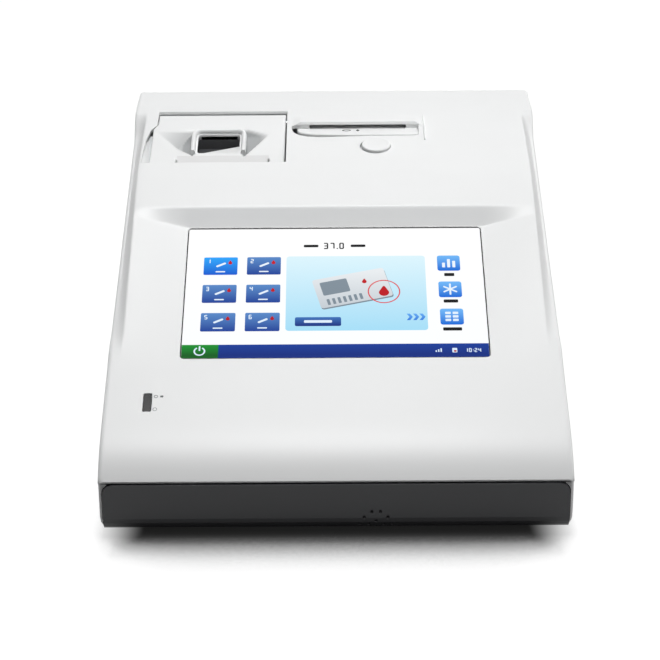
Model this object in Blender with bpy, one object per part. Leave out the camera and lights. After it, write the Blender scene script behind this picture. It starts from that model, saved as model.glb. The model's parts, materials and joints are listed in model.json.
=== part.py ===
# A portable blood gas analyzer: a wedge-shaped desk unit with a touch screen, a receipt
# printer at the rear left and a test card port at the rear right.
# Metres, +Z up. X runs to the right of someone who faces the screen, Y from front to rear,
# and the origin is on the table under the middle of the housing.

import math

import bmesh
import bpy
from mathutils import Matrix, Vector

for leftover in list(bpy.data.objects):
    bpy.data.objects.remove(leftover, do_unlink=True)

# Housing
BODY_WIDTH = 0.238
WALL = 0.0025
GAP = 0.0003            # between two pieces that seat on or beside each other
OVERRUN = 0.004         # how far a cut runs past the face that it opens
OVERLAP = 0.0006        # how far a boss or rib reaches into the wall that carries it
MERGE = 0.00001         # points closer than this are one point

HALF_WIDTH = BODY_WIDTH / 2

# Feet and the underside
FOOT_HEIGHT = 0.0027
FOOT_RADIUS = 0.008
FOOT_BEVEL = 0.0005
FOOT_INSET_X = 0.024
FOOT_INSET_Y = 0.030
BASE_Z = FOOT_HEIGHT + GAP
SEAM_Z = 0.030          # top of the base tray, where the cover starts
BASE_TOP_Z = SEAM_Z - GAP

# Dark fascia under the nose
FASCIA_PROUD = 0.001    # of the base tray's front
FASCIA_SIDE = 0.002     # white cheek left beside it
FASCIA_CORNER = 0.005
FASCIA_WALL = 0.0025
UNDER_RUN = 0.009       # how far the lower front edge rounds back
UNDER_RISE = 0.008
UNDER_STEPS = 5
FASCIA_TAIL = 0.003     # flat part that reaches on under the base tray

# Profile of the cover along its centre line, from the front edge to the rear wall: how far
# each part runs in plan, and its angle or rise
NOSE_RUN = 0.0262
NOSE_RISE = 0.02047
NOSE_LIP = 0.0012
NOSE_ANGLE = math.radians(55)
NOSE_STEPS = 5
SLOPE_RUN = 0.1313
SLOPE_ANGLE = math.radians(24.8)
DISH_WALL_RUN = 0.0055
DISH_WALL_ANGLE = math.radians(63)
BAND_RUN = 0.0245
BAND_ANGLE = math.radians(24.9)
LEDGE_RUN = 0.0193
LEDGE_ANGLE = math.radians(15.1)
DECK_RUN = 0.0623
DECK_ANGLE = math.radians(11.6)
TOP_BAND_RUN = 0.0244
TOP_BAND_RISE = 0.0017
REAR_EDGE_RUN = 0.0075
REAR_EDGE_DROP = 0.0055
REAR_EDGE_TURNS = (30, 60, 90)
REAR_LEAN = 0.014       # how far the rear wall leans out on its way down to the seam
GRID_FOOT_DROP = 0.002  # the cover's grid starts this far under the seam and is trimmed there

BODY_LENGTH = (NOSE_RUN + SLOPE_RUN + DISH_WALL_RUN + BAND_RUN + LEDGE_RUN + DECK_RUN
               + TOP_BAND_RUN + REAR_EDGE_RUN + REAR_LEAN)
FRONT_Y = -BODY_LENGTH / 2
REAR_Y = BODY_LENGTH / 2
SLOPE_FRONT_Y = FRONT_Y + NOSE_RUN
SCREEN_REAR_Y = SLOPE_FRONT_Y + SLOPE_RUN
BAND_FRONT_Y = SCREEN_REAR_Y + DISH_WALL_RUN
LEDGE_FRONT_Y = BAND_FRONT_Y + BAND_RUN
DECK_FRONT_Y = LEDGE_FRONT_Y + LEDGE_RUN
DECK_REAR_Y = DECK_FRONT_Y + DECK_RUN
TOP_BAND_REAR_Y = DECK_REAR_Y + TOP_BAND_RUN

GRID_FOOT_Z = SEAM_Z - GRID_FOOT_DROP
SLOPE_FRONT_Z = SEAM_Z + NOSE_RISE
SCREEN_REAR_Z = SLOPE_FRONT_Z + SLOPE_RUN * math.tan(SLOPE_ANGLE)
BAND_FRONT_Z = SCREEN_REAR_Z + DISH_WALL_RUN * math.tan(DISH_WALL_ANGLE)
LEDGE_FRONT_Z = BAND_FRONT_Z + BAND_RUN * math.tan(BAND_ANGLE)
DECK_FRONT_Z = LEDGE_FRONT_Z + LEDGE_RUN * math.tan(LEDGE_ANGLE)
DECK_REAR_Z = DECK_FRONT_Z + DECK_RUN * math.tan(DECK_ANGLE)
BODY_HEIGHT = DECK_REAR_Z + TOP_BAND_RISE

# Chassis plate over the base tray, which the boards and both mechanisms stand on
CHASSIS_THICKNESS = 0.0015
CHASSIS_TOP_Z = SEAM_Z + GAP + CHASSIS_THICKNESS

# Screen
SCREEN_WIDTH = 0.162
SCREEN_DEPTH = 0.098
SCREEN_CORNER = 0.0018
GLASS_THICKNESS = 0.0018
GLASS_SINK = 0.0004     # how far the glass lies under the slope
GLASS_GAP = 0.0004
GASKET_WIDTH = 0.004
GASKET_THICKNESS = 0.001
LCD_MARGIN = 0.0016
LCD_THICKNESS = 0.0058
BRACKET_MARGIN_X = 0.005
BRACKET_MARGIN_Y = 0.0055
BRACKET_THICKNESS = 0.0012
BRACKET_WINDOW_WIDTH = 0.056
BRACKET_WINDOW_DEPTH = 0.064
BRACKET_WINDOW_SPACING = 0.076
BRACKET_POST_RADIUS = 0.0022
BRACKET_POST_INSET_X = 0.008

WINDOW_WIDTH = SCREEN_WIDTH + 2 * GLASS_GAP
WINDOW_DEPTH = SCREEN_DEPTH + 2 * GLASS_GAP
SCREEN_MIDDLE_Y = SCREEN_REAR_Y - WINDOW_DEPTH / 2 * math.cos(SLOPE_ANGLE)
SCREEN_MIDDLE_Z = SCREEN_REAR_Z - WINDOW_DEPTH / 2 * math.sin(SLOPE_ANGLE)

# Rails beside the dish, and the hollow flank outside each rail
RAIL_INSET = 0.007
DISH_MARGIN = 0.00431     # of the dish's front end past the window
DISH_FRONT_Y = SCREEN_REAR_Y - WINDOW_DEPTH * math.cos(SLOPE_ANGLE) - DISH_MARGIN
FLANK_START = 0.010
FLANK_SHOULDER_RUN = 0.008
FLANK_END = 0.0076        # of the hollow flank before the deck's rear end
FLANK_REAR_RUN = 0.014
FLANK_FRONT_Y = DISH_FRONT_Y + FLANK_START
FLANK_FULL_FRONT_Y = FLANK_FRONT_Y + FLANK_SHOULDER_RUN
FLANK_REAR_Y = DECK_REAR_Y - FLANK_END
FLANK_FULL_REAR_Y = FLANK_REAR_Y - FLANK_REAR_RUN
FLANK_FRONT_DROP = 0.006
FLANK_REAR_DROP = 0.0108
FLANK_HOLLOW = 2.2      # power of the curve between rail and skirt
FLANK_SHARES = (0.0, 0.2, 0.45, 0.7)
INNER_SHIFT_SHARE = 0.3
EDGE_RADIUS = 0.0022
NOSE_CORNER = 0.0012    # of the cover, in plan
FRONT_CORNER = 0.003    # of the base tray, in plan
REAR_CORNER = 0.005

# Across the deck, from the left side wall: the printer door, then the hood with its lip and slot
DOOR_INSET = 0.0128
DOOR_WIDTH = 0.0779
DOOR_TO_HOOD = 0.0039
HOOD_TO_LIP = 0.0027
LIP_TO_SLOT = 0.0072
SLOT_WIDTH = 0.0571
SLOT_TO_LIP_END = 0.0071
LIP_TO_HOOD_END = 0.0028

DOOR_LEFT_X = -HALF_WIDTH + DOOR_INSET
DOOR_RIGHT_X = DOOR_LEFT_X + DOOR_WIDTH
HOOD_LEFT_X = DOOR_RIGHT_X + DOOR_TO_HOOD
LIP_LEFT_X = HOOD_LEFT_X + HOOD_TO_LIP
SLOT_LEFT_X = LIP_LEFT_X + LIP_TO_SLOT
SLOT_RIGHT_X = SLOT_LEFT_X + SLOT_WIDTH
LIP_RIGHT_X = SLOT_RIGHT_X + SLOT_TO_LIP_END
HOOD_RIGHT_X = LIP_RIGHT_X + LIP_TO_HOOD_END

# Hood over the card slot
HOOD_DEPTH = 0.0278     # in plan, back to the deck's rear end
HOOD_RAMP = 0.0045
HOOD_FACE_RUN = 0.0004
HOOD_RISE = 0.0029      # of the hood's front edge over the deck
HOOD_FRONT_Y = DECK_REAR_Y - HOOD_DEPTH

# Gear teeth, and the shares of a pitch that a tip and a flank take up
TOOTH_MODULE = 0.0005
TOOTH_TIP = 0.0004
TOOTH_ROOT = 0.00055
TOOTH_TIP_SHARE = 0.30
TOOTH_FLANK_SHARE = 0.14

# Finishes: colour, roughness, metallic
FINISHES = {
    "white_housing": ("#F1F2F2", 0.42, 0.0),
    "grey_fascia": ("#3A3B3D", 0.38, 0.0),
    "light_grey": ("#D6D8D9", 0.50, 0.0),
    "dark_plastic": ("#232426", 0.45, 0.0),
    "screen_glass": ("#0B0D10", 0.06, 0.0),
    "steel_sheet": ("#B5B8BA", 0.35, 1.0),
    "bright_steel": ("#C9CBCC", 0.22, 1.0),
    "aluminium": ("#C4C7C9", 0.40, 1.0),
    "brass": ("#C2A35A", 0.30, 1.0),
    "board_green": ("#1F5A38", 0.55, 0.0),
    "black_rubber": ("#1B1B1C", 0.85, 0.0),
    "paper": ("#F4F3EE", 0.80, 0.0),
    "amber_film": ("#B5702A", 0.40, 0.0),
    "gear_plastic": ("#E6E1CF", 0.45, 0.0),
    "scan_red": ("#5A0F12", 0.10, 0.0),
    "battery_wrap": ("#2A4B7A", 0.50, 0.0),
}


def linear_channel(value):
    return value / 12.92 if value <= 0.04045 else ((value + 0.055) / 1.055) ** 2.4


def finish_material(key):
    existing = bpy.data.materials.get(key)
    if existing:
        return existing
    code, roughness, metallic = FINISHES[key]
    channels = [int(code[i:i + 2], 16) / 255 for i in (1, 3, 5)]
    material = bpy.data.materials.new(key)
    material.use_nodes = True
    shader = material.node_tree.nodes["Principled BSDF"]
    shader.inputs["Base Color"].default_value = [linear_channel(c) for c in channels] + [1]
    shader.inputs["Roughness"].default_value = roughness
    shader.inputs["Metallic"].default_value = metallic
    return material


# Each node is one object, with its origin on its joint's axis if it moves. A frame is an
# empty that a tilted group of pieces is built on.
def make_object(name, mesh_data, frame=None, pivot=(0, 0, 0)):
    mesh = bpy.data.meshes.new(name)
    bmesh.ops.translate(mesh_data, vec=-Vector(pivot), verts=mesh_data.verts)
    bmesh.ops.recalc_face_normals(mesh_data, faces=mesh_data.faces)
    mesh_data.to_mesh(mesh)
    mesh_data.free()
    made = bpy.data.objects.new(name, mesh)
    bpy.context.scene.collection.objects.link(made)
    made.parent = frame
    made.location = pivot
    return made


def make_node(name, mesh_data, finish, frame=None, pivot=(0, 0, 0)):
    made = make_object(name, mesh_data, frame, pivot)
    made.data.materials.append(finish_material(finish))
    made.data.shade_smooth()
    made.data.set_sharp_from_angle(angle=math.radians(32))
    return made


def make_frame(name, place, tilt):
    frame = bpy.data.objects.new(name, None)
    bpy.context.scene.collection.objects.link(frame)
    frame.location = place
    frame.rotation_euler = (tilt, 0, 0)
    return frame


def combine(target, name, mesh_data, operation, frame=None):
    helper = make_object(name, mesh_data, frame)
    helper.hide_render = True
    helper.display_type = "WIRE"
    modifier = target.modifiers.new(name, "BOOLEAN")
    modifier.operation = operation
    modifier.object = helper
    return helper


def cut(target, name, mesh_data, frame=None):
    return combine(target, name, mesh_data, "DIFFERENCE", frame)


def fuse(target, name, mesh_data, frame=None):
    return combine(target, name, mesh_data, "UNION", frame)


# Outlines are lists of two numbers, counter-clockwise
def circle_outline(radius, sides, middle=(0, 0)):
    turns = [2 * math.pi * i / sides for i in range(sides)]
    return [(middle[0] + radius * math.cos(t), middle[1] + radius * math.sin(t)) for t in turns]


def rounded_outline(width, depth, radius, steps=4, middle=(0, 0)):
    points = []
    for corner, (side_x, side_y) in enumerate(((1, 1), (-1, 1), (-1, -1), (1, -1))):
        centre_x = middle[0] + side_x * (width / 2 - radius)
        centre_y = middle[1] + side_y * (depth / 2 - radius)
        for step in range(steps + 1):
            turn = math.pi / 2 * (corner + step / steps)
            points.append((centre_x + radius * math.cos(turn), centre_y + radius * math.sin(turn)))
    return points


def arc_points(middle, radius, start, end, steps):
    turns = [start + (end - start) * i / steps for i in range(steps + 1)]
    return [(middle[0] + radius * math.cos(t), middle[1] + radius * math.sin(t)) for t in turns]


# Teeth are numbered from the one whose middle lies at the phase
def gear_outline(teeth, middle, phase):
    pitch_radius = TOOTH_MODULE * teeth / 2
    root = pitch_radius - TOOTH_ROOT
    tip = pitch_radius + TOOTH_TIP
    half_tip = TOOTH_TIP_SHARE / 2
    half_foot = half_tip + TOOTH_FLANK_SHARE
    points = []
    for tooth in range(teeth):
        for share, radius in ((-half_foot, root), (-half_tip, tip), (half_tip, tip),
                              (half_foot, root)):
            turn = phase + 2 * math.pi * (tooth + share) / teeth
            points.append((middle[0] + radius * math.cos(turn), middle[1] + radius * math.sin(turn)))
    return points


# Phase of the gear that meshes with another one, seen from the other along the heading
def meshing_phase(phase, teeth, heading, own_teeth):
    share = (heading - phase) * teeth / (2 * math.pi) % 1
    return heading + math.pi + (share + 0.5) * 2 * math.pi / own_teeth


# The place of an outline's two numbers, and of the length that it is extruded over
def spread(axis, first, second, along):
    if axis == "X":
        return Vector((along, first, second))
    if axis == "Y":
        return Vector((first, along, second))
    return Vector((first, second, along))


def add_prism(mesh_data, outline, axis, start, end):
    low = [mesh_data.verts.new(spread(axis, a, b, start)) for a, b in outline]
    high = [mesh_data.verts.new(spread(axis, a, b, end)) for a, b in outline]
    mesh_data.faces.new(low)
    mesh_data.faces.new(high)
    for i, corner in enumerate(low):
        following = (i + 1) % len(low)
        mesh_data.faces.new((corner, low[following], high[following], high[i]))


def add_ring_prism(mesh_data, outer, inner, axis, start, end):
    loops = []
    for outline, along in ((outer, start), (outer, end), (inner, end), (inner, start)):
        loops.append([mesh_data.verts.new(spread(axis, a, b, along)) for a, b in outline])
    for number, loop in enumerate(loops):
        following = loops[(number + 1) % len(loops)]
        for i, corner in enumerate(loop):
            beside = (i + 1) % len(loop)
            mesh_data.faces.new((corner, loop[beside], following[beside], following[i]))


def add_box(mesh_data, low, high):
    outline = [(low[0], low[1]), (high[0], low[1]), (high[0], high[1]), (low[0], high[1])]
    add_prism(mesh_data, outline, "Z", low[2], high[2])


def add_rod(mesh_data, axis, middle, start, end, radius, sides=20):
    add_prism(mesh_data, circle_outline(radius, sides, middle), axis, start, end)


def add_tube(mesh_data, axis, middle, start, end, radius, bore, sides=24):
    outer = circle_outline(radius, sides, middle)
    inner = circle_outline(bore, sides, middle)
    add_ring_prism(mesh_data, outer, inner, axis, start, end)


def add_loft(mesh_data, rings, close_top):
    rows = [[mesh_data.verts.new(point) for point in ring] for ring in rings]
    mesh_data.faces.new(list(reversed(rows[0])))
    for low, high in zip(rows, rows[1:]):
        for i in range(len(low)):
            following = (i + 1) % len(low)
            mesh_data.faces.new((low[i], low[following], high[following], high[i]))
    if close_top:
        mesh_data.faces.new(rows[-1])


# Outlines with equal counts of points, each with its place along the axis
def add_stepped(mesh_data, axis, rows):
    rings = []
    for outline, along in rows:
        rings.append([spread(axis, a, b, along) for a, b in outline])
    add_loft(mesh_data, rings, True)


def add_turned(mesh_data, axis, middle, profile, sides=24):
    add_stepped(mesh_data, axis, [(circle_outline(radius, sides, middle), along)
                                  for radius, along in profile])


def box_node(name, low, high, finish, frame=None):
    mesh_data = bmesh.new()
    add_box(mesh_data, low, high)
    return make_node(name, mesh_data, finish, frame)


def deck_z(y):
    return DECK_FRONT_Z + (y - DECK_FRONT_Y) * math.tan(DECK_ANGLE)


def slope_z(y):
    return SCREEN_REAR_Z + (y - SCREEN_REAR_Y) * math.tan(SLOPE_ANGLE)


# Rear wall: leans from the rear edge of the top band out to the seam
REAR_TOP_Y = TOP_BAND_REAR_Y + REAR_EDGE_RUN
REAR_TOP_Z = BODY_HEIGHT - REAR_EDGE_DROP


def rear_wall_y(z):
    return REAR_Y - (z - SEAM_Z) * (REAR_Y - REAR_TOP_Y) / (REAR_TOP_Z - SEAM_Z)


# Cover: an outer and an inner grid of rows from the nose to the rear edge
def nose_rows():
    foot = (FRONT_Y + FASCIA_PROUD, SEAM_Z + NOSE_LIP)
    top = (SLOPE_FRONT_Y, SLOPE_FRONT_Z)
    run = top[0] - foot[0]
    rise = top[1] - foot[1]
    reach = (rise - run * math.tan(SLOPE_ANGLE)) / (math.tan(NOSE_ANGLE) - math.tan(SLOPE_ANGLE))
    bend = (foot[0] + reach, foot[1] + reach * math.tan(NOSE_ANGLE))
    rows = [(foot[0], GRID_FOOT_Z)]
    for step in range(NOSE_STEPS + 1):
        t = step / NOSE_STEPS
        y = (1 - t) ** 2 * foot[0] + 2 * t * (1 - t) * bend[0] + t ** 2 * top[0]
        z = (1 - t) ** 2 * foot[1] + 2 * t * (1 - t) * bend[1] + t ** 2 * top[1]
        rows.append((y, z))
    return rows


def rear_edge_rows():
    rows = []
    for turn in REAR_EDGE_TURNS:
        angle = math.radians(turn)
        y = TOP_BAND_REAR_Y + REAR_EDGE_RUN * math.sin(angle)
        z = BODY_HEIGHT - REAR_EDGE_DROP * (1 - math.cos(angle))
        rows.append((y, z))
    return rows


def profile_rows():
    rows = nose_rows()
    for y in (FLANK_FRONT_Y + (DISH_FRONT_Y - FLANK_FRONT_Y) * 2, DISH_FRONT_Y, FLANK_FRONT_Y,
              FLANK_FULL_FRONT_Y, SCREEN_MIDDLE_Y, SCREEN_REAR_Y):
        rows.append((y, slope_z(y)))
    rows.append((BAND_FRONT_Y, BAND_FRONT_Z))
    rows.append((LEDGE_FRONT_Y, LEDGE_FRONT_Z))
    for y in (DECK_FRONT_Y, HOOD_FRONT_Y, HOOD_FRONT_Y + HOOD_FACE_RUN, FLANK_FULL_REAR_Y,
              FLANK_REAR_Y, DECK_REAR_Y):
        rows.append((y, deck_z(y)))
    rows.append((TOP_BAND_REAR_Y, BODY_HEIGHT))
    return rows + rear_edge_rows()


def rail_z(y, centre_z):
    if not DISH_FRONT_Y < y < BAND_FRONT_Y:
        return centre_z
    foot_z = slope_z(DISH_FRONT_Y)
    return foot_z + (BAND_FRONT_Z - foot_z) * (y - DISH_FRONT_Y) / (BAND_FRONT_Y - DISH_FRONT_Y)


def skirt_z(y, rail):
    if not FLANK_FRONT_Y < y < FLANK_REAR_Y:
        return rail
    low_front = rail_z(FLANK_FULL_FRONT_Y, 0) - FLANK_FRONT_DROP
    low_rear = deck_z(FLANK_FULL_REAR_Y) - FLANK_REAR_DROP
    share = (y - FLANK_FULL_FRONT_Y) / (FLANK_FULL_REAR_Y - FLANK_FULL_FRONT_Y)
    low = low_front + (low_rear - low_front) * share
    if y < FLANK_FULL_FRONT_Y:
        return rail
    if y > FLANK_FULL_REAR_Y:
        return rail
    return min(low, rail)


def half_width_at(y):
    for into, radius in ((y - (FRONT_Y + FASCIA_PROUD), NOSE_CORNER), (REAR_TOP_Y - y, REAR_CORNER)):
        if into < radius:
            left = radius - max(into, 0)
            return HALF_WIDTH - radius + math.sqrt(radius ** 2 - left ** 2)
    return HALF_WIDTH


# One row of the cover's outer face: x, z and how far the inner face lies nearer the middle
def cover_row(y, centre_z):
    half = half_width_at(y)
    rail_x = half - RAIL_INSET
    rail = rail_z(y, centre_z)
    skirt = skirt_z(y, rail)
    side = SCREEN_WIDTH / 2 + GLASS_GAP
    hood_z = deck_z(HOOD_FRONT_Y) + HOOD_RISE
    hooded = HOOD_FRONT_Y < y < DECK_REAR_Y
    right = [(side, centre_z, 0), ((side + rail_x) / 2, (centre_z + rail) / 2, 0)]
    for share in FLANK_SHARES:
        height = skirt + (rail - skirt) * (1 - share) ** FLANK_HOLLOW
        right.append((rail_x + RAIL_INSET * share, height, WALL * (INNER_SHIFT_SHARE + share)))
    right.append((half - EDGE_RADIUS * (1 - math.sin(math.pi / 4)),
                  skirt - EDGE_RADIUS * (1 - math.cos(math.pi / 4)), WALL))
    right.append((half, skirt - EDGE_RADIUS, WALL))
    left = [(-x, z, -shift) for x, z, shift in reversed(right)]
    middle = []
    for x, raised in ((HOOD_LEFT_X, False), (HOOD_LEFT_X + HOOD_RAMP, True),
                      (HOOD_RIGHT_X - HOOD_RAMP, True), (HOOD_RIGHT_X, False)):
        middle.append((x, max(centre_z, hood_z) if raised and hooded else centre_z, 0))
    return [(x, max(z, GRID_FOOT_Z), shift) for x, z, shift in left + middle + right]


def cover_foot_y(y):
    if y <= DECK_REAR_Y:
        return y
    return y + (REAR_Y - REAR_TOP_Y) * (y - DECK_REAR_Y) / (REAR_TOP_Y - DECK_REAR_Y)


# The step from each profile point to the inner face, a wall's thickness in
def inward_steps(profile):
    steps = []
    for i, point in enumerate(profile):
        normals = []
        for start, end in ((i - 1, i), (i, i + 1)):
            if start >= 0 and end < len(profile):
                run = Vector(profile[end]) - Vector(profile[start])
                normals.append(Vector((-run.y, run.x)).normalized())
        mitre = sum(normals, Vector((0, 0))).normalized()
        steps.append(-mitre * WALL / mitre.dot(normals[0]))
    return steps


def cover_grids():
    rows = profile_rows()
    foot_rows = [(REAR_Y, SEAM_Z + NOSE_LIP), (REAR_Y, GRID_FOOT_Z)]
    steps = inward_steps(rows + foot_rows)
    outer = []
    inner = []
    for (y, centre_z), step in zip(rows, steps):
        points = cover_row(y, centre_z)
        foot = cover_foot_y(y)
        half = half_width_at(y)
        hood_shift = WALL if HOOD_FRONT_Y <= y <= HOOD_FRONT_Y + HOOD_FACE_RUN else 0
        lip_z = min(SEAM_Z + NOSE_LIP, points[0][1])
        row = [(-half, foot, GRID_FOOT_Z), (-half, foot, lip_z)]
        row += [(x, y, z) for x, z, shift in points]
        outer.append(row + [(half, foot, lip_z), (half, foot, GRID_FOOT_Z)])
        inside = []
        for x, z, shift in points:
            lift = 0 if z > centre_z and hood_shift else hood_shift * math.tan(DECK_ANGLE)
            inside.append((x - shift, y + step.x + hood_shift, max(z + step.y + lift, GRID_FOOT_Z)))
        inner_foot = min(max(foot, FRONT_Y + FASCIA_PROUD + WALL), REAR_Y - WALL)
        inner_lip = min(lip_z, inside[0][2])
        row = [(WALL - half, inner_foot, GRID_FOOT_Z), (WALL - half, inner_foot, inner_lip)]
        inner.append(row + inside + [(half - WALL, inner_foot, inner_lip),
                                     (half - WALL, inner_foot, GRID_FOOT_Z)])
    for (y, z), step in zip(foot_rows, steps[-2:]):
        for rows_done, shift_y, shift_z in ((outer, 0, 0), (inner, step.x, step.y)):
            row = [(x, y + shift_y, z + shift_z) for x, _, _ in rows_done[len(rows) - 1]]
            row[0] = (row[0][0], row[0][1], GRID_FOOT_Z)
            row[-1] = (row[-1][0], row[-1][1], GRID_FOOT_Z)
            rows_done.append(row)
    return outer, inner


def build_cover():
    mesh_data = bmesh.new()
    sheets = []
    for points in cover_grids():
        sheets.append([[mesh_data.verts.new(point) for point in row] for row in points])
    for sheet in sheets:
        for near, far in zip(sheet, sheet[1:]):
            for i in range(len(near) - 1):
                mesh_data.faces.new((near[i], near[i + 1], far[i + 1], far[i]))
    rims = []
    for sheet in sheets:
        rims.append([sheet[0], sheet[-1], [row[0] for row in sheet], [row[-1] for row in sheet]])
    for outside, inside in zip(*rims):
        for i in range(len(outside) - 1):
            mesh_data.faces.new((outside[i], outside[i + 1], inside[i + 1], inside[i]))
    bmesh.ops.remove_doubles(mesh_data, verts=mesh_data.verts, dist=MERGE)
    bmesh.ops.dissolve_degenerate(mesh_data, dist=MERGE, edges=mesh_data.edges)
    return make_node("top_cover", mesh_data, "white_housing")


# The last cut on the cover, so that the lugs end level with its foot
def trim_cover():
    below = bmesh.new()
    add_box(below, (-BODY_WIDTH, -BODY_LENGTH, GRID_FOOT_Z - OVERRUN),
            (BODY_WIDTH, BODY_LENGTH, SEAM_Z))
    cut(cover, "seam_trim", below)


cover = build_cover()


# Screen stack, built in a frame that lies on the slope with its third axis pointing out
screen_frame = make_frame("screen_frame", (0, SCREEN_MIDDLE_Y, SCREEN_MIDDLE_Z), SLOPE_ANGLE)


def add_plate(mesh_data, width, depth, radius, top, bottom, middle=(0, 0)):
    add_prism(mesh_data, rounded_outline(width, depth, radius, 4, middle), "Z", bottom, top)


def build_screen():
    window = bmesh.new()
    add_plate(window, WINDOW_WIDTH, WINDOW_DEPTH, SCREEN_CORNER + GLASS_GAP, OVERRUN / 2,
              -WALL - OVERRUN)
    cut(cover, "screen_window", window, screen_frame)

    glass_top = -GLASS_SINK
    glass_bottom = glass_top - GLASS_THICKNESS
    glass = bmesh.new()
    add_plate(glass, SCREEN_WIDTH, SCREEN_DEPTH, SCREEN_CORNER, glass_top, glass_bottom)
    make_node("screen_glass", glass, "screen_glass", screen_frame)

    gasket_top = glass_bottom - GAP
    gasket_bottom = gasket_top - GASKET_THICKNESS
    gasket = bmesh.new()
    outer = rounded_outline(SCREEN_WIDTH, SCREEN_DEPTH, SCREEN_CORNER)
    inner = rounded_outline(SCREEN_WIDTH - 2 * GASKET_WIDTH, SCREEN_DEPTH - 2 * GASKET_WIDTH,
                            SCREEN_CORNER)
    add_ring_prism(gasket, outer, inner, "Z", gasket_bottom, gasket_top)
    make_node("screen_gasket", gasket, "black_rubber", screen_frame)

    lcd_top = gasket_bottom - GAP
    lcd_bottom = lcd_top - LCD_THICKNESS
    lcd_width = SCREEN_WIDTH + 2 * LCD_MARGIN
    lcd_depth = SCREEN_DEPTH + 2 * LCD_MARGIN
    lcd = bmesh.new()
    add_plate(lcd, lcd_width, lcd_depth, SCREEN_CORNER, lcd_top, lcd_bottom)
    make_node("lcd_module", lcd, "dark_plastic", screen_frame)

    bracket_top = lcd_bottom - GAP
    bracket_bottom = bracket_top - BRACKET_THICKNESS
    bracket_width = lcd_width + 2 * BRACKET_MARGIN_X
    bracket_depth = lcd_depth + 2 * BRACKET_MARGIN_Y
    plate = bmesh.new()
    add_plate(plate, bracket_width, bracket_depth, SCREEN_CORNER, bracket_top, bracket_bottom)
    bracket = make_node("display_bracket", plate, "steel_sheet", screen_frame)
    windows = bmesh.new()
    for side in (-1, 1):
        add_plate(windows, BRACKET_WINDOW_WIDTH, BRACKET_WINDOW_DEPTH, SCREEN_CORNER,
                  bracket_top + OVERRUN, bracket_bottom - OVERRUN,
                  (side * BRACKET_WINDOW_SPACING / 2, 0))
    cut(bracket, "bracket_windows", windows, screen_frame)
    posts = bmesh.new()
    post_y = -bracket_depth / 2 + BRACKET_POST_RADIUS + GAP
    for side in (-1, 1):
        post_x = side * (bracket_width / 2 - BRACKET_POST_INSET_X)
        add_rod(posts, "Z", (post_x, post_y), bracket_top - OVERLAP, -WALL - GAP,
                BRACKET_POST_RADIUS, 12)
    fuse(bracket, "bracket_posts", posts, screen_frame)


build_screen()


# Base tray: rings of a rounded outline, stacked from the underside to the seam
BASE_EDGE = 0.003       # rounding of the side and rear edges of the underside
BASE_STEPS = 4
BOSS_RADIUS = 0.0045
SCREW_HOLE = 0.0019
SCREW_RADIUS = 0.0015
SCREW_HEAD_RADIUS = 0.0029
SCREW_HEAD_HEIGHT = 0.0018
HEAD_POCKET_DEPTH = 0.003
BOSS_INSET_X = 0.0085
BOSS_FRONT_INSET = 0.0395
BOSS_REAR_INSET = 0.0295
BOSS_FRONT_Y = FRONT_Y + BOSS_FRONT_INSET
BOSS_REAR_Y = REAR_Y - BOSS_REAR_INSET
LUG_WIDTH = 0.011       # along the side wall
LUG_REACH = 0.014       # from the side wall inwards
LUG_HEIGHT = 0.009
LUG_HOLE = 0.0018
SCREW_BITE = 0.006      # length of screw inside the cover's lug


def base_ring(inset_front, inset_side, z):
    half_x = HALF_WIDTH - inset_side
    front = FRONT_Y + FASCIA_PROUD + inset_front
    rear = REAR_Y - inset_side
    points = []
    corners = ((half_x, rear, REAR_CORNER, 0), (-half_x, rear, REAR_CORNER, 1),
               (-half_x, front, FRONT_CORNER, 2), (half_x, front, FRONT_CORNER, 3))
    for x, y, radius, turn in corners:
        centre_x = x - math.copysign(radius, x)
        centre_y = y - (radius if turn < 2 else -radius)
        start = turn * math.pi / 2
        points += arc_points((centre_x, centre_y), radius, start, start + math.pi / 2, 3)
    return [(x, y, z) for x, y in points]


# Share of the lower edge's rounding that is passed at a turn, back from the front and up
def under_point(turn):
    return UNDER_RUN * (1 - math.sin(turn)), UNDER_RISE * (1 - math.cos(turn))


def boss_places():
    boss_x = HALF_WIDTH - WALL - BOSS_INSET_X
    return [(side * boss_x, y) for side in (-1, 1) for y in (BOSS_FRONT_Y, BOSS_REAR_Y)]


def build_base():
    rings = []
    for step in range(BASE_STEPS + 1):
        turn = math.pi / 2 * step / BASE_STEPS
        back, up = under_point(turn)
        rings.append(base_ring(back, BASE_EDGE * (1 - math.sin(turn)), BASE_Z + up))
    rings.append(base_ring(0, 0, BASE_TOP_Z))
    mesh_data = bmesh.new()
    add_loft(mesh_data, rings, False)
    base = make_node("base_tray", mesh_data, "white_housing")
    wall = base.modifiers.new("wall", "SOLIDIFY")
    wall.thickness = WALL
    wall.offset = -1
    wall.use_even_offset = True

    bosses = bmesh.new()
    for place in boss_places():
        add_rod(bosses, "Z", place, BASE_Z + WALL - OVERLAP, BASE_TOP_Z, BOSS_RADIUS, 16)
    fuse(base, "screw_bosses", bosses)

    holes = bmesh.new()
    for place in boss_places():
        add_rod(holes, "Z", place, BASE_Z + HEAD_POCKET_DEPTH - OVERLAP, BASE_TOP_Z + OVERRUN,
                SCREW_HOLE, 10)
    cut(base, "screw_holes", holes)
    pockets = bmesh.new()
    for place in boss_places():
        add_rod(pockets, "Z", place, BASE_Z - OVERRUN, BASE_Z + HEAD_POCKET_DEPTH,
                SCREW_HEAD_RADIUS + GAP, 12)
    cut(base, "screw_pockets", pockets)
    return base


base = build_base()


def corner_name(stem, place):
    depth = "front" if place[1] < 0 else "rear"
    side = "left" if place[0] < 0 else "right"
    return f"{stem}_{depth}_{side}"


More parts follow.
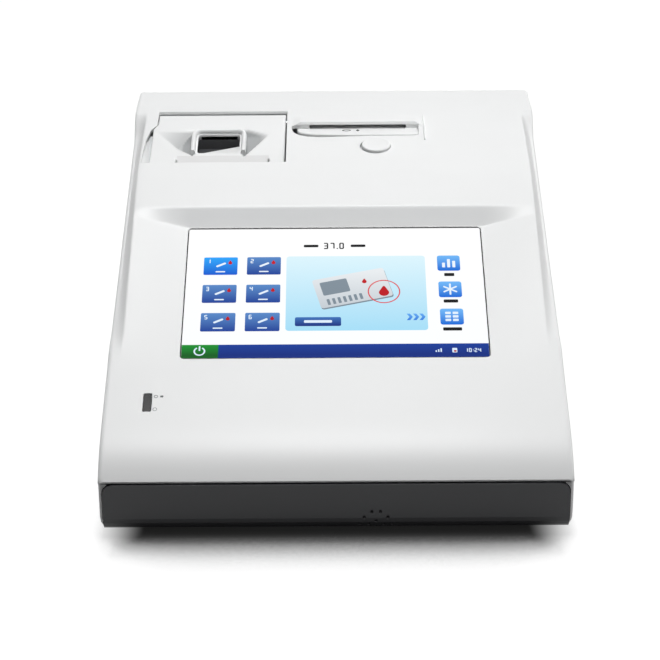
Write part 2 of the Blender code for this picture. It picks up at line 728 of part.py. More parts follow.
def build_housing_screws():
    head_bottom = BASE_Z + HEAD_POCKET_DEPTH - GAP - SCREW_HEAD_HEIGHT
    head_top = head_bottom + SCREW_HEAD_HEIGHT
    for place in boss_places():
        screw = bmesh.new()
        add_turned(screw, "Z", place, ((SCREW_HEAD_RADIUS, head_bottom),
                                       (SCREW_HEAD_RADIUS, head_top), (SCREW_RADIUS, head_top),
                                       (SCREW_RADIUS, SEAM_Z + SCREW_BITE)), 10)
        make_node(corner_name("housing_screw", place), screw, "bright_steel")


def build_cover_lugs():
    lugs = bmesh.new()
    holes = bmesh.new()
    for x, y in boss_places():
        side = math.copysign(1, x)
        outer = side * (HALF_WIDTH - WALL + OVERLAP)
        inner = side * (HALF_WIDTH - LUG_REACH)
        add_box(lugs, (min(outer, inner), y - LUG_WIDTH / 2, (GRID_FOOT_Z + SEAM_Z) / 2),
                (max(outer, inner), y + LUG_WIDTH / 2, SEAM_Z + LUG_HEIGHT))
        add_rod(holes, "Z", (x, y), SEAM_Z - OVERRUN, SEAM_Z + SCREW_BITE + GAP, LUG_HOLE, 10)
    fuse(cover, "cover_lugs", lugs)
    cut(cover, "lug_holes", holes)


build_housing_screws()
build_cover_lugs()


def build_feet():
    for side_x in (-1, 1):
        for side_y in (-1, 1):
            place = (side_x * (HALF_WIDTH - FOOT_INSET_X), side_y * (REAR_Y - FOOT_INSET_Y))
            foot = bmesh.new()
            add_turned(foot, "Z", place, ((FOOT_RADIUS - FOOT_BEVEL, 0),
                                          (FOOT_RADIUS, FOOT_BEVEL), (FOOT_RADIUS, FOOT_HEIGHT)), 20)
            make_node(corner_name("rubber_foot", place), foot, "black_rubber")


build_feet()


# Fascia: a strip that runs down the front and rounds back under the base
SPEAKER_X = 0.020
SPEAKER_HOLE = 0.0008
SPEAKER_RINGS = ((0, 1), (0.0042, 6), (0.0084, 12))
SPEAKER_TILT = math.radians(45)


def fascia_outline(grow):
    half = HALF_WIDTH - FASCIA_SIDE + grow
    top = BASE_TOP_Z + grow
    rows = []
    for step in range(4):
        turn = math.pi / 2 * step / 3
        inset = FASCIA_CORNER * (1 - math.sin(turn))
        rows.append((half - inset, top - FASCIA_CORNER * (1 - math.cos(turn))))
    return rows


def build_fascia():
    rows = [(half, FRONT_Y, z) for half, z in fascia_outline(0)]
    half = HALF_WIDTH - FASCIA_SIDE
    for step in range(UNDER_STEPS + 1):
        turn = math.pi / 2 * (1 - step / UNDER_STEPS)
        back, up = under_point(turn)
        rows.append((half, FRONT_Y + back, BASE_Z + up))
    rows.append((half, FRONT_Y + UNDER_RUN + FASCIA_TAIL, BASE_Z))
    strip = bmesh.new()
    pairs = []
    for half, y, z in rows:
        pairs.append((strip.verts.new((-half, y, z)), strip.verts.new((half, y, z))))
    for upper, lower in zip(pairs, pairs[1:]):
        strip.faces.new((lower[0], lower[1], upper[1], upper[0]))
    fascia = make_node("front_fascia", strip, "grey_fascia")
    wall = fascia.modifiers.new("wall", "SOLIDIFY")
    wall.thickness = FASCIA_WALL
    wall.offset = -1
    wall.use_even_offset = True

    holes = bmesh.new()
    for ring, count in SPEAKER_RINGS:
        for i in range(count):
            turn = 2 * math.pi * (i + 0.5) / count
            middle = (ring * math.cos(turn), ring * math.sin(turn))
            add_rod(holes, "Z", middle, -FASCIA_WALL - OVERRUN, OVERRUN, SPEAKER_HOLE, 6)
    cut(fascia, "speaker_holes", holes, speaker_frame)

    opening = bmesh.new()
    profile = fascia_outline(GAP)
    bottom = (HALF_WIDTH - FASCIA_SIDE + GAP, BASE_Z - OVERRUN)
    right = [(x, z) for x, z in profile] + [bottom]
    right[0] = (right[0][0], right[0][1] + OVERRUN)
    outline = right + [(-x, z) for x, z in reversed(right)]
    add_prism(opening, outline, "Y", FRONT_Y - OVERRUN, FRONT_Y + UNDER_RUN + FASCIA_TAIL + GAP)
    cut(base, "fascia_opening", opening)


# The speaker looks out through the rounded lower edge, square to it
speaker_back, speaker_up = under_point(SPEAKER_TILT)
speaker_frame = make_frame("speaker_frame", (SPEAKER_X, FRONT_Y + speaker_back,
                                             BASE_Z + speaker_up), math.pi / 2 + SPEAKER_TILT)
build_fascia()


# Printer: a drop-in roll under a door that hinges at its rear edge and carries the platen
DOOR_REACH = 0.0057         # of the door's front edge before the deck's
DOOR_FACET_RUN = 0.0364
DOOR_REAR_RUN = 0.023
DOOR_FRONT_Y = DECK_FRONT_Y - DOOR_REACH
DOOR_CREASE_Y = DOOR_FRONT_Y + DOOR_FACET_RUN
DOOR_REAR_Y = DOOR_CREASE_Y + DOOR_REAR_RUN
DOOR_FRONT_SINK = 0.0028    # of the door's front edge under the deck
DOOR_CREASE_RISE = 0.0009
DOOR_WALL = 0.003
DOOR_JOG = 0.0023           # the door is this much narrower behind the crease
DOOR_JOG_RUN = 0.006
DOOR_FRONT_GAP = 0.0012
DOOR_GAP = 0.0004
HINGE_RADIUS = 0.0045
HINGE_PIN_RADIUS = 0.001
LUG_THICKNESS = 0.0038
LUG_REACH_FRONT = 0.0085
LUG_FRONT_Y = DOOR_REAR_Y - LUG_REACH_FRONT
FLANK_POCKET_LEFT = 0.0044  # width of the sunk pocket left of the door
SLAB_CLEARANCE = 0.001
SLAB_THICKNESS = 0.002
PAPER_SLIT_MARGIN = 0.0015
PAPER_SLIT_DEPTH = 0.001

PULL_INSET = 0.0263         # of the finger pull from the door's left edge
PULL_WIDTH = 0.0239
PULL_FRONT_INSET = 0.0058
PULL_DEPTH = 0.0246
PULL_LEFT_X = DOOR_LEFT_X + PULL_INSET
PULL_RIGHT_X = PULL_LEFT_X + PULL_WIDTH
PULL_FRONT_Y = DOOR_FRONT_Y + PULL_FRONT_INSET
PULL_REAR_Y = PULL_FRONT_Y + PULL_DEPTH
PULL_RIM = 0.0048
PULL_RIM_HEIGHT = 0.0014
PULL_REAR_RIM = 0.004
PULL_FRONT_RIM = 0.0019
PULL_WALL = 0.0018
PULL_TUB_INSET = 0.0011
PULL_TUB_Y = PULL_FRONT_Y + PULL_TUB_INSET

PLATEN_INSET = 0.0114
PLATEN_Y = DOOR_FRONT_Y + PLATEN_INSET
PLATEN_DROP = 0.0097        # of the platen's axis under the door's outer face
PLATEN_RADIUS = 0.005
PLATEN_SHAFT_RADIUS = 0.0015
ARM_THICKNESS = 0.0014
ARM_RADIUS = 0.003
ARM_GAP = 0.0004
GEAR_WIDTH = 0.003
PLATEN_TEETH = 22
IDLER_TEETH = 26
PINION_TEETH = 12
PINION_HEADING = math.radians(217)  # from the idler's axis
AXLE_RADIUS = 0.0012
PRINTER_MOTOR_RADIUS = 0.0085
PRINTER_MOTOR_LENGTH = 0.0186
MOTOR_SHAFT_RADIUS = 0.001
MOTOR_HOLE_RADIUS = 0.0025

ROLL_WIDTH = 0.050
ROLL_SIDE_SHARE = 0.6057     # of the door's spare width, left of the roll
ROLL_BEHIND_CREASE = 0.004
ROLL_MIDDLE_X = DOOR_LEFT_X + (DOOR_WIDTH - ROLL_WIDTH) * ROLL_SIDE_SHARE + ROLL_WIDTH / 2
ROLL_Y = DOOR_CREASE_Y + ROLL_BEHIND_CREASE
ROLL_DROP = 0.0375          # of the roll's axis under the deck
ROLL_RADIUS = 0.021
CORE_RADIUS = 0.008
CORE_BORE = 0.006
CRADLE_WALL = 0.002
SIDE_SKIRT = 0.0006         # of the side plates under the cradle
SIDE_GAP = 0.0022           # from the roll to the frame's side plates, room for the arms
SIDE_PLATE = 0.002
SIDE_FRONT_INSET = 0.0009
SIDE_REAR_REACH = 0.0055
SIDE_STEP_RUN = 0.011
REAR_WALL_REACH = 0.0035
BACK_WALL_SINK = 0.0007     # of the rear wall's top under the hinge lugs'
SIDE_FRONT_Y = DOOR_FRONT_Y + SIDE_FRONT_INSET
SIDE_REAR_Y = DOOR_REAR_Y + SIDE_REAR_REACH
SIDE_STEP_Y = PLATEN_Y + SIDE_STEP_RUN
SIDE_LEG = 0.008
REAR_WALL_Y = DOOR_REAR_Y + REAR_WALL_REACH
HEAD_THICKNESS = 0.003
HEAD_LOW = 0.009            # of the print head under the platen's axis
HEAD_HIGH = 0.004

DOOR_FRONT_Z = deck_z(DOOR_FRONT_Y) - DOOR_FRONT_SINK
DOOR_CREASE_Z = deck_z(DOOR_CREASE_Y) + DOOR_CREASE_RISE
HINGE_Y = DOOR_REAR_Y - HINGE_RADIUS
HINGE_Z = deck_z(HINGE_Y) - HINGE_RADIUS / math.cos(DECK_ANGLE)
FACET_ANGLE = math.atan2(DOOR_CREASE_Z - DOOR_FRONT_Z, DOOR_CREASE_Y - DOOR_FRONT_Y)


def facet_z(y):
    return DOOR_FRONT_Z + (y - DOOR_FRONT_Y) * math.tan(FACET_ANGLE)


def under_deck_z(y):
    return deck_z(y) - WALL / math.cos(DECK_ANGLE) - GAP


PLATEN_Z = facet_z(PLATEN_Y) - PLATEN_DROP
ROLL_Z = deck_z(ROLL_Y) - ROLL_DROP
ROLL_LEFT_X = ROLL_MIDDLE_X - ROLL_WIDTH / 2
ROLL_RIGHT_X = ROLL_MIDDLE_X + ROLL_WIDTH / 2
SIDE_LEFT_X = ROLL_LEFT_X - SIDE_GAP        # inner faces of the frame's side plates
SIDE_RIGHT_X = ROLL_RIGHT_X + SIDE_GAP
GEAR_LEFT_X = SIDE_RIGHT_X + SIDE_PLATE + GAP
GEAR_RIGHT_X = GEAR_LEFT_X + GEAR_WIDTH

# The idler lies straight behind the way that the platen leaves when the door starts to open
IDLER_HEADING = math.atan2(PLATEN_Z - HINGE_Z, PLATEN_Y - HINGE_Y) + math.pi / 2
IDLER_REACH = TOOTH_MODULE * (PLATEN_TEETH + IDLER_TEETH) / 2
IDLER_Y = PLATEN_Y + IDLER_REACH * math.cos(IDLER_HEADING)
IDLER_Z = PLATEN_Z + IDLER_REACH * math.sin(IDLER_HEADING)
PINION_REACH = TOOTH_MODULE * (IDLER_TEETH + PINION_TEETH) / 2
PINION_Y = IDLER_Y + PINION_REACH * math.cos(PINION_HEADING)
PINION_Z = IDLER_Z + PINION_REACH * math.sin(PINION_HEADING)
DOOR_DROP = DOOR_WALL / math.cos(FACET_ANGLE) + SLAB_CLEARANCE


def build_printer_door():
    wall_y = DOOR_WALL * math.sin(FACET_ANGLE)
    wall_z = DOOR_WALL * math.cos(FACET_ANGLE)
    outline = [(DOOR_FRONT_Y, DOOR_FRONT_Z), (DOOR_FRONT_Y + wall_y, DOOR_FRONT_Z - wall_z)]
    outline.append((DOOR_CREASE_Y, DOOR_CREASE_Z - DOOR_WALL))
    outline += arc_points((HINGE_Y, HINGE_Z), HINGE_RADIUS, -math.pi / 2,
                          math.pi / 2 + DECK_ANGLE, 12)
    outline.append((DOOR_CREASE_Y, DOOR_CREASE_Z))
    plate = bmesh.new()
    add_prism(plate, outline, "X", DOOR_LEFT_X, DOOR_RIGHT_X)
    door = make_node("printer_door", plate, "white_housing", None, (0, HINGE_Y, HINGE_Z))

    tub = bmesh.new()
    tub_bottom = facet_z(PULL_TUB_Y) - DOOR_WALL / math.cos(FACET_ANGLE) + PULL_WALL / 2
    tub_rear = PULL_REAR_Y + PULL_WALL
    add_prism(tub, [(PULL_TUB_Y, tub_bottom), (tub_rear, tub_bottom),
                    (tub_rear, facet_z(tub_rear) - OVERLAP),
                    (PULL_TUB_Y, facet_z(PULL_TUB_Y) - OVERLAP)], "X",
              PULL_LEFT_X - PULL_WALL, PULL_RIGHT_X + PULL_WALL)
    fuse(door, "pull_tub", tub)

    rim_front = PULL_FRONT_Y - PULL_FRONT_RIM
    rim_rear = PULL_REAR_Y + PULL_REAR_RIM
    legs = bmesh.new()
    for left in (PULL_LEFT_X - PULL_RIM, PULL_RIGHT_X):
        add_prism(legs, [(rim_front, facet_z(rim_front) - OVERLAP),
                         (rim_rear, facet_z(rim_rear) - OVERLAP),
                         (rim_rear, facet_z(rim_rear) + PULL_RIM_HEIGHT),
                         (PULL_FRONT_Y, facet_z(PULL_FRONT_Y) + PULL_RIM_HEIGHT)],
                  "X", left, left + PULL_RIM)
    fuse(door, "pull_legs", legs)
    bar = bmesh.new()
    add_prism(bar, [(PULL_REAR_Y, facet_z(PULL_REAR_Y) - OVERLAP),
                    (rim_rear, facet_z(rim_rear) - OVERLAP),
                    (rim_rear, facet_z(rim_rear) + PULL_RIM_HEIGHT),
                    (PULL_REAR_Y, facet_z(PULL_REAR_Y) + PULL_RIM_HEIGHT)],
              "X", PULL_LEFT_X - PULL_RIM / 2, PULL_RIGHT_X + PULL_RIM / 2)
    fuse(door, "pull_bar", bar)
    pull = bmesh.new()
    add_box(pull, (PULL_LEFT_X, PULL_FRONT_Y, tub_bottom + PULL_WALL),
            (PULL_RIGHT_X, PULL_REAR_Y, DOOR_CREASE_Z + OVERRUN))
    cut(door, "pull_pocket", pull)

    arms = bmesh.new()
    top_z = facet_z(PLATEN_Y - ARM_RADIUS) - OVERLAP
    for start in (ROLL_LEFT_X - ARM_GAP - ARM_THICKNESS, ROLL_RIGHT_X + ARM_GAP):
        outline = arc_points((PLATEN_Y, PLATEN_Z), ARM_RADIUS, math.pi, 2 * math.pi, 8)
        outline += [(PLATEN_Y + ARM_RADIUS, top_z), (PLATEN_Y - ARM_RADIUS, top_z)]
        add_prism(arms, outline, "X", start, start + ARM_THICKNESS)
    fuse(door, "platen_arms", arms)
    bores = bmesh.new()
    for start in (ROLL_LEFT_X - ARM_GAP - ARM_THICKNESS, ROLL_RIGHT_X + ARM_GAP):
        add_rod(bores, "X", (PLATEN_Y, PLATEN_Z), start - OVERLAP, start + ARM_THICKNESS + OVERLAP,
                PLATEN_SHAFT_RADIUS + GAP, 12)
    add_rod(bores, "X", (HINGE_Y, HINGE_Z), DOOR_LEFT_X - OVERRUN, DOOR_RIGHT_X + OVERRUN,
            HINGE_PIN_RADIUS + GAP, 12)
    cut(door, "door_bores", bores)

    jog = bmesh.new()
    add_prism(jog, [(DOOR_LEFT_X - OVERRUN, DOOR_CREASE_Y), (DOOR_LEFT_X, DOOR_CREASE_Y),
                    (DOOR_LEFT_X + DOOR_JOG, DOOR_CREASE_Y + DOOR_JOG_RUN),
                    (DOOR_LEFT_X + DOOR_JOG, DOOR_REAR_Y + OVERRUN),
                    (DOOR_LEFT_X - OVERRUN, DOOR_REAR_Y + OVERRUN)], "Z",
              HINGE_Z - HINGE_RADIUS - OVERRUN, BODY_HEIGHT + OVERRUN)
    cut(door, "door_jog", jog)
    notch = bmesh.new()
    add_box(notch, (ROLL_LEFT_X - PAPER_SLIT_MARGIN, DOOR_FRONT_Y - OVERRUN, PLATEN_Z),
            (ROLL_RIGHT_X + PAPER_SLIT_MARGIN, DOOR_FRONT_Y + PAPER_SLIT_DEPTH,
             BODY_HEIGHT))
    cut(door, "paper_slit", notch)


build_printer_door()


def printer_opening_outline():
    rail_side = DOOR_LEFT_X - FLANK_POCKET_LEFT
    jog_x = DOOR_LEFT_X + DOOR_JOG - GAP
    right = DOOR_RIGHT_X + DOOR_GAP
    front = DOOR_FRONT_Y - DOOR_FRONT_GAP
    rear = DOOR_REAR_Y + DOOR_GAP
    return [(rail_side, front), (right, front), (right, rear), (jog_x, rear),
            (jog_x, DOOR_CREASE_Y + DOOR_JOG_RUN), (rail_side, DOOR_CREASE_Y)]


def build_printer_frame():
    opening = bmesh.new()
    add_prism(opening, printer_opening_outline(), "Z", ROLL_Z, BODY_HEIGHT + OVERRUN)
    cut(cover, "printer_opening", opening)

    side_top = PLATEN_Z - PLATEN_SHAFT_RADIUS - GAP
    cradle_bottom = ROLL_Z - ROLL_RADIUS - GAP - CRADLE_WALL - SIDE_SKIRT
    rear_top = facet_z(SIDE_STEP_Y) - DOOR_DROP
    foot = CHASSIS_TOP_Z + GAP
    outline = [(SIDE_FRONT_Y, foot), (SIDE_FRONT_Y + SIDE_LEG, foot),
               (SIDE_FRONT_Y + SIDE_LEG, cradle_bottom), (SIDE_REAR_Y - SIDE_LEG, cradle_bottom),
               (SIDE_REAR_Y - SIDE_LEG, foot), (SIDE_REAR_Y, foot), (SIDE_REAR_Y, rear_top),
               (SIDE_STEP_Y, rear_top), (SIDE_STEP_Y, side_top), (SIDE_FRONT_Y, side_top)]
    plates = bmesh.new()
    add_prism(plates, outline, "X", SIDE_LEFT_X - SIDE_PLATE, SIDE_LEFT_X)
    add_prism(plates, outline, "X", SIDE_RIGHT_X, SIDE_RIGHT_X + SIDE_PLATE)
    frame = make_node("printer_frame", plates, "light_grey")

    cradle = bmesh.new()
    inner = arc_points((ROLL_Y, ROLL_Z), ROLL_RADIUS + GAP, math.pi, 2 * math.pi, 14)
    outer = arc_points((ROLL_Y, ROLL_Z), ROLL_RADIUS + GAP + CRADLE_WALL, 2 * math.pi, math.pi, 14)
    add_prism(cradle, inner + outer, "X", SIDE_LEFT_X - SIDE_PLATE / 2,
              SIDE_RIGHT_X + SIDE_PLATE / 2)
    fuse(frame, "cradle", cradle)

    left_lug = DOOR_LEFT_X + DOOR_JOG - GAP - LUG_THICKNESS
    right_lug = DOOR_RIGHT_X + GAP
    back = bmesh.new()
    back_rear = REAR_WALL_Y + SIDE_PLATE + OVERLAP
    back_low = ROLL_Z - OVERLAP
    add_prism(back, [(REAR_WALL_Y, back_low), (back_rear, back_low),
                     (back_rear, under_deck_z(back_rear) - BACK_WALL_SINK),
                     (REAR_WALL_Y, under_deck_z(REAR_WALL_Y) - BACK_WALL_SINK)],
              "X", left_lug, right_lug + LUG_THICKNESS)
    fuse(frame, "back_wall", back)
    lugs = bmesh.new()
    lug_rear = REAR_WALL_Y + OVERLAP
    lug_low = HINGE_Z - HINGE_RADIUS * 2
    for start in (left_lug, right_lug):
        add_prism(lugs, [(LUG_FRONT_Y, lug_low), (lug_rear, lug_low),
                         (lug_rear, under_deck_z(lug_rear)), (LUG_FRONT_Y, under_deck_z(LUG_FRONT_Y))],
                  "X", start, start + LUG_THICKNESS)
    fuse(frame, "hinge_lugs", lugs)

    slab = bmesh.new()
    slab_front = DOOR_FRONT_Y - DOOR_FRONT_GAP + GAP
    slab_rear = DOOR_CREASE_Y - GAP
    slab_low = DOOR_DROP + SLAB_THICKNESS
    add_prism(slab, [(slab_front, facet_z(slab_front) - slab_low),
                     (slab_rear, facet_z(slab_rear) - slab_low),
                     (slab_rear, facet_z(slab_rear) - DOOR_DROP),
                     (slab_front, facet_z(slab_front) - DOOR_DROP)],
              "X", DOOR_LEFT_X - FLANK_POCKET_LEFT + GAP, SIDE_LEFT_X - SIDE_PLATE + OVERLAP)
    fuse(frame, "pocket_slab", slab)
    axle = bmesh.new()
    add_rod(axle, "X", (IDLER_Y, IDLER_Z), SIDE_RIGHT_X + OVERLAP, GEAR_RIGHT_X + GAP,
            AXLE_RADIUS, 12)
    fuse(frame, "idler_axle", axle)

    bores = bmesh.new()
    for start in (left_lug, right_lug):
        add_rod(bores, "X", (HINGE_Y, HINGE_Z), start - OVERLAP, start + LUG_THICKNESS + OVERLAP,
                HINGE_PIN_RADIUS + GAP, 12)
    add_rod(bores, "X", (PINION_Y, PINION_Z), SIDE_RIGHT_X - OVERLAP,
            SIDE_RIGHT_X + SIDE_PLATE + OVERLAP, MOTOR_HOLE_RADIUS, 12)
    cut(frame, "frame_bores", bores)

    pin = bmesh.new()
    add_rod(pin, "X", (HINGE_Y, HINGE_Z), left_lug + GAP, right_lug + LUG_THICKNESS - GAP,
            HINGE_PIN_RADIUS, 12)
    make_node("door_hinge_pin", pin, "bright_steel")


def build_printer_works():
    shaft_left = ROLL_LEFT_X - ARM_GAP - ARM_THICKNESS
    platen = bmesh.new()
    add_turned(platen, "X", (PLATEN_Y, PLATEN_Z),
               ((PLATEN_SHAFT_RADIUS, shaft_left), (PLATEN_SHAFT_RADIUS, ROLL_LEFT_X),
                (PLATEN_RADIUS, ROLL_LEFT_X), (PLATEN_RADIUS, ROLL_RIGHT_X),
                (PLATEN_SHAFT_RADIUS, ROLL_RIGHT_X), (PLATEN_SHAFT_RADIUS, GEAR_RIGHT_X)), 20)
    make_node("platen_roller", platen, "black_rubber", None, (0, PLATEN_Y, PLATEN_Z))
    idler_phase = meshing_phase(IDLER_HEADING, PLATEN_TEETH, IDLER_HEADING, IDLER_TEETH)
    pinion_phase = meshing_phase(idler_phase, IDLER_TEETH, PINION_HEADING, PINION_TEETH)
    for name, middle, bore, teeth, phase in (
            ("platen_gear", (PLATEN_Y, PLATEN_Z), PLATEN_SHAFT_RADIUS, PLATEN_TEETH, IDLER_HEADING),
            ("idler_gear", (IDLER_Y, IDLER_Z), AXLE_RADIUS, IDLER_TEETH, idler_phase)):
        gear = bmesh.new()
        add_prism(gear, gear_outline(teeth, middle, phase), "X", GEAR_LEFT_X, GEAR_RIGHT_X)
        wheel = make_node(name, gear, "gear_plastic", None, (0, *middle))
        hole = bmesh.new()
        add_rod(hole, "X", middle, GEAR_LEFT_X - OVERLAP, GEAR_RIGHT_X + OVERLAP, bore + GAP, 12)
        cut(wheel, name + "_bore", hole)
    middle = (PINION_Y, PINION_Z)
    pinion = bmesh.new()
    add_prism(pinion, gear_outline(PINION_TEETH, middle, pinion_phase), "X", GEAR_LEFT_X,
              GEAR_RIGHT_X)
    wheel = make_node("motor_pinion", pinion, "brass", None, (0, *middle))
    shaft = bmesh.new()
    add_rod(shaft, "X", middle, SIDE_RIGHT_X, GEAR_LEFT_X + OVERLAP, MOTOR_SHAFT_RADIUS, 12)
    fuse(wheel, "pinion_shaft", shaft)
    motor = bmesh.new()
    add_rod(motor, "X", middle, SIDE_RIGHT_X - GAP - PRINTER_MOTOR_LENGTH, SIDE_RIGHT_X - GAP,
            PRINTER_MOTOR_RADIUS, 24)
    make_node("printer_motor", motor, "steel_sheet")
    head_front = PLATEN_Y + PLATEN_RADIUS + GAP
    box_node("print_head", (SIDE_LEFT_X + GAP, head_front, PLATEN_Z - HEAD_LOW),
             (SIDE_RIGHT_X - GAP, head_front + HEAD_THICKNESS, PLATEN_Z + HEAD_HIGH), "aluminium")
    roll = bmesh.new()
    add_tube(roll, "X", (ROLL_Y, ROLL_Z), ROLL_LEFT_X, ROLL_RIGHT_X, ROLL_RADIUS,
             CORE_RADIUS + GAP, 32)
    make_node("paper_roll", roll, "paper", None, (0, ROLL_Y, ROLL_Z))
    core = bmesh.new()
    add_tube(core, "X", (ROLL_Y, ROLL_Z), ROLL_LEFT_X, ROLL_RIGHT_X, CORE_RADIUS, CORE_BORE, 20)
    make_node("paper_core", core, "light_grey", None, (0, ROLL_Y, ROLL_Z))


build_printer_frame()
build_printer_works()


# Card port: a level lip under a hood, and behind it the guide that the test card slides into
LIP_REACH = 0.0115
LIP_INSIDE = 0.0122
LIP_FRONT_Y = HOOD_FRONT_Y - LIP_REACH
LIP_REAR_Y = HOOD_FRONT_Y + LIP_INSIDE
LIP_RISE = 0.001        # of the lip's top over the deck at its front
LIP_WALL = 0.003
LIP_CHAMFER = 0.0004
LIP_CHAMFER_RUN = 0.0025
SLOT_HEIGHT = 0.0025
GUIDE_RAIL_WIDTH = 0.0025
GUIDE_RAIL_HEIGHT = 0.0012
LIP_TO_GUIDE = 0.0013
GUIDE_LENGTH = 0.0407
GUIDE_FRONT_Y = LIP_REAR_Y + LIP_TO_GUIDE
GUIDE_REAR_Y = GUIDE_FRONT_Y + GUIDE_LENGTH
GUIDE_WALL = 0.002
GUIDE_SIDE = 0.004
CHEEK_LEFT_REACH = 0.0042
CHEEK_RIGHT_REACH = 0.0056
CHEEK_LEFT_X = SLOT_LEFT_X - CHEEK_LEFT_REACH
CHEEK_RIGHT_X = SLOT_RIGHT_X + CHEEK_RIGHT_REACH
CHEEK_WALL = 0.0015
CHEEK_LOWER_LENGTH = 0.0247
CHEEK_BEND_RISE = 0.050     # over the seam
SHELF_DROP = 0.04023        # under the lip's top, as the other drops here
BRIDGE_DROP = 0.01153
CHEEK_LOWER_REAR_Y = GUIDE_FRONT_Y + CHEEK_LOWER_LENGTH
CHEEK_BEND_Z = SEAM_Z + CHEEK_BEND_RISE
FOOT_FLANGE = 0.010

HEATER_PLACE = (0.0045, 0.0017)     # from the slot's left end and the guide's front
HEATER_SIZE = (0.048, 0.011)
CONTACT_PLACE = (0.0065, 0.0152)
CONTACT_SIZE = (0.044, 0.009)
CONTACT_DROP = 0.01123
CONTACT_BODY_HEIGHT = 0.006
PIN_LENGTH = 0.0025
PIN_ROWS = 2
PIN_COUNT = 8
PIN_SIZE = 0.0014
PIN_PITCH = 0.005
PIN_ROW_PITCH = 0.004
STEM_PLACE = 0.0255
STEM_WIDTH = 0.006
CAM_PLACE = 0.0197
CAM_DROP = 0.02223
CAM_LOW_RADIUS = 0.005
CAM_HIGH_RADIUS = 0.007
CAM_SIDES = 32
WORKS_SHAFT_RADIUS = 0.0015
PRESS_MOTOR_RADIUS = 0.0075
PRESS_MOTOR_PLACE = 0.007   # from the stem
PUMP_PLACE = 0.0425
VALVE_PLACE = 0.0145
WORKS_REAR_INSET = 0.0055
PUMP_MOTOR_RADIUS = 0.007
PUMP_MOTOR_HEIGHT = 0.0177
PUMP_ROTOR_RADIUS = 0.0042
PUMP_LOBE = 0.0008
PUMP_LOBES = 3
PUMP_HEAD_DROP = 0.01223
PUMP_HEAD_HEIGHT = 0.0092
VALVE_MOTOR_HEIGHT = 0.0167
VALVE_KEY_DROP = 0.01323
VALVE_KEY_HEIGHT = 0.007
VALVE_KEY_LENGTH = 0.011
VALVE_KEY_WIDTH = 0.005

LIP_TOP_Z = deck_z(LIP_FRONT_Y) + LIP_RISE
GUIDE_TOP_Z = LIP_TOP_Z - GAP
CHEEK_TOP_Z = GUIDE_TOP_Z - GUIDE_WALL - GAP
SHELF_TOP_Z = LIP_TOP_Z - SHELF_DROP
BRIDGE_TOP_Z = LIP_TOP_Z - BRIDGE_DROP
HEATER_LOW = (SLOT_LEFT_X + HEATER_PLACE[0], GUIDE_FRONT_Y + HEATER_PLACE[1])
HEATER_HIGH = (HEATER_LOW[0] + HEATER_SIZE[0], HEATER_LOW[1] + HEATER_SIZE[1])
CONTACT_LOW = (SLOT_LEFT_X + CONTACT_PLACE[0], GUIDE_FRONT_Y + CONTACT_PLACE[1])
CONTACT_HIGH = (CONTACT_LOW[0] + CONTACT_SIZE[0], CONTACT_LOW[1] + CONTACT_SIZE[1])
CONTACT_BODY_LOW_Z = LIP_TOP_Z - CONTACT_DROP
CONTACT_BODY_HIGH_Z = CONTACT_BODY_LOW_Z + CONTACT_BODY_HEIGHT
PIN_TIP_Z = CONTACT_BODY_HIGH_Z + PIN_LENGTH
STEM_LEFT_X = SLOT_LEFT_X + STEM_PLACE
STEM_RIGHT_X = STEM_LEFT_X + STEM_WIDTH
CAM_Y = GUIDE_FRONT_Y + CAM_PLACE
CAM_Z = LIP_TOP_Z - CAM_DROP
PRESS_MOTOR_LEFT_X = STEM_RIGHT_X + PRESS_MOTOR_PLACE
PUMP_X = SLOT_LEFT_X + PUMP_PLACE
VALVE_X = SLOT_LEFT_X + VALVE_PLACE
WORKS_REAR_Y = GUIDE_REAR_Y - WORKS_REAR_INSET
PUMP_HEAD_LOW_Z = LIP_TOP_Z - PUMP_HEAD_DROP
PUMP_HEAD_HIGH_Z = PUMP_HEAD_LOW_Z + PUMP_HEAD_HEIGHT
VALVE_KEY_LOW_Z = LIP_TOP_Z - VALVE_KEY_DROP
VALVE_KEY_HIGH_Z = VALVE_KEY_LOW_Z + VALVE_KEY_HEIGHT


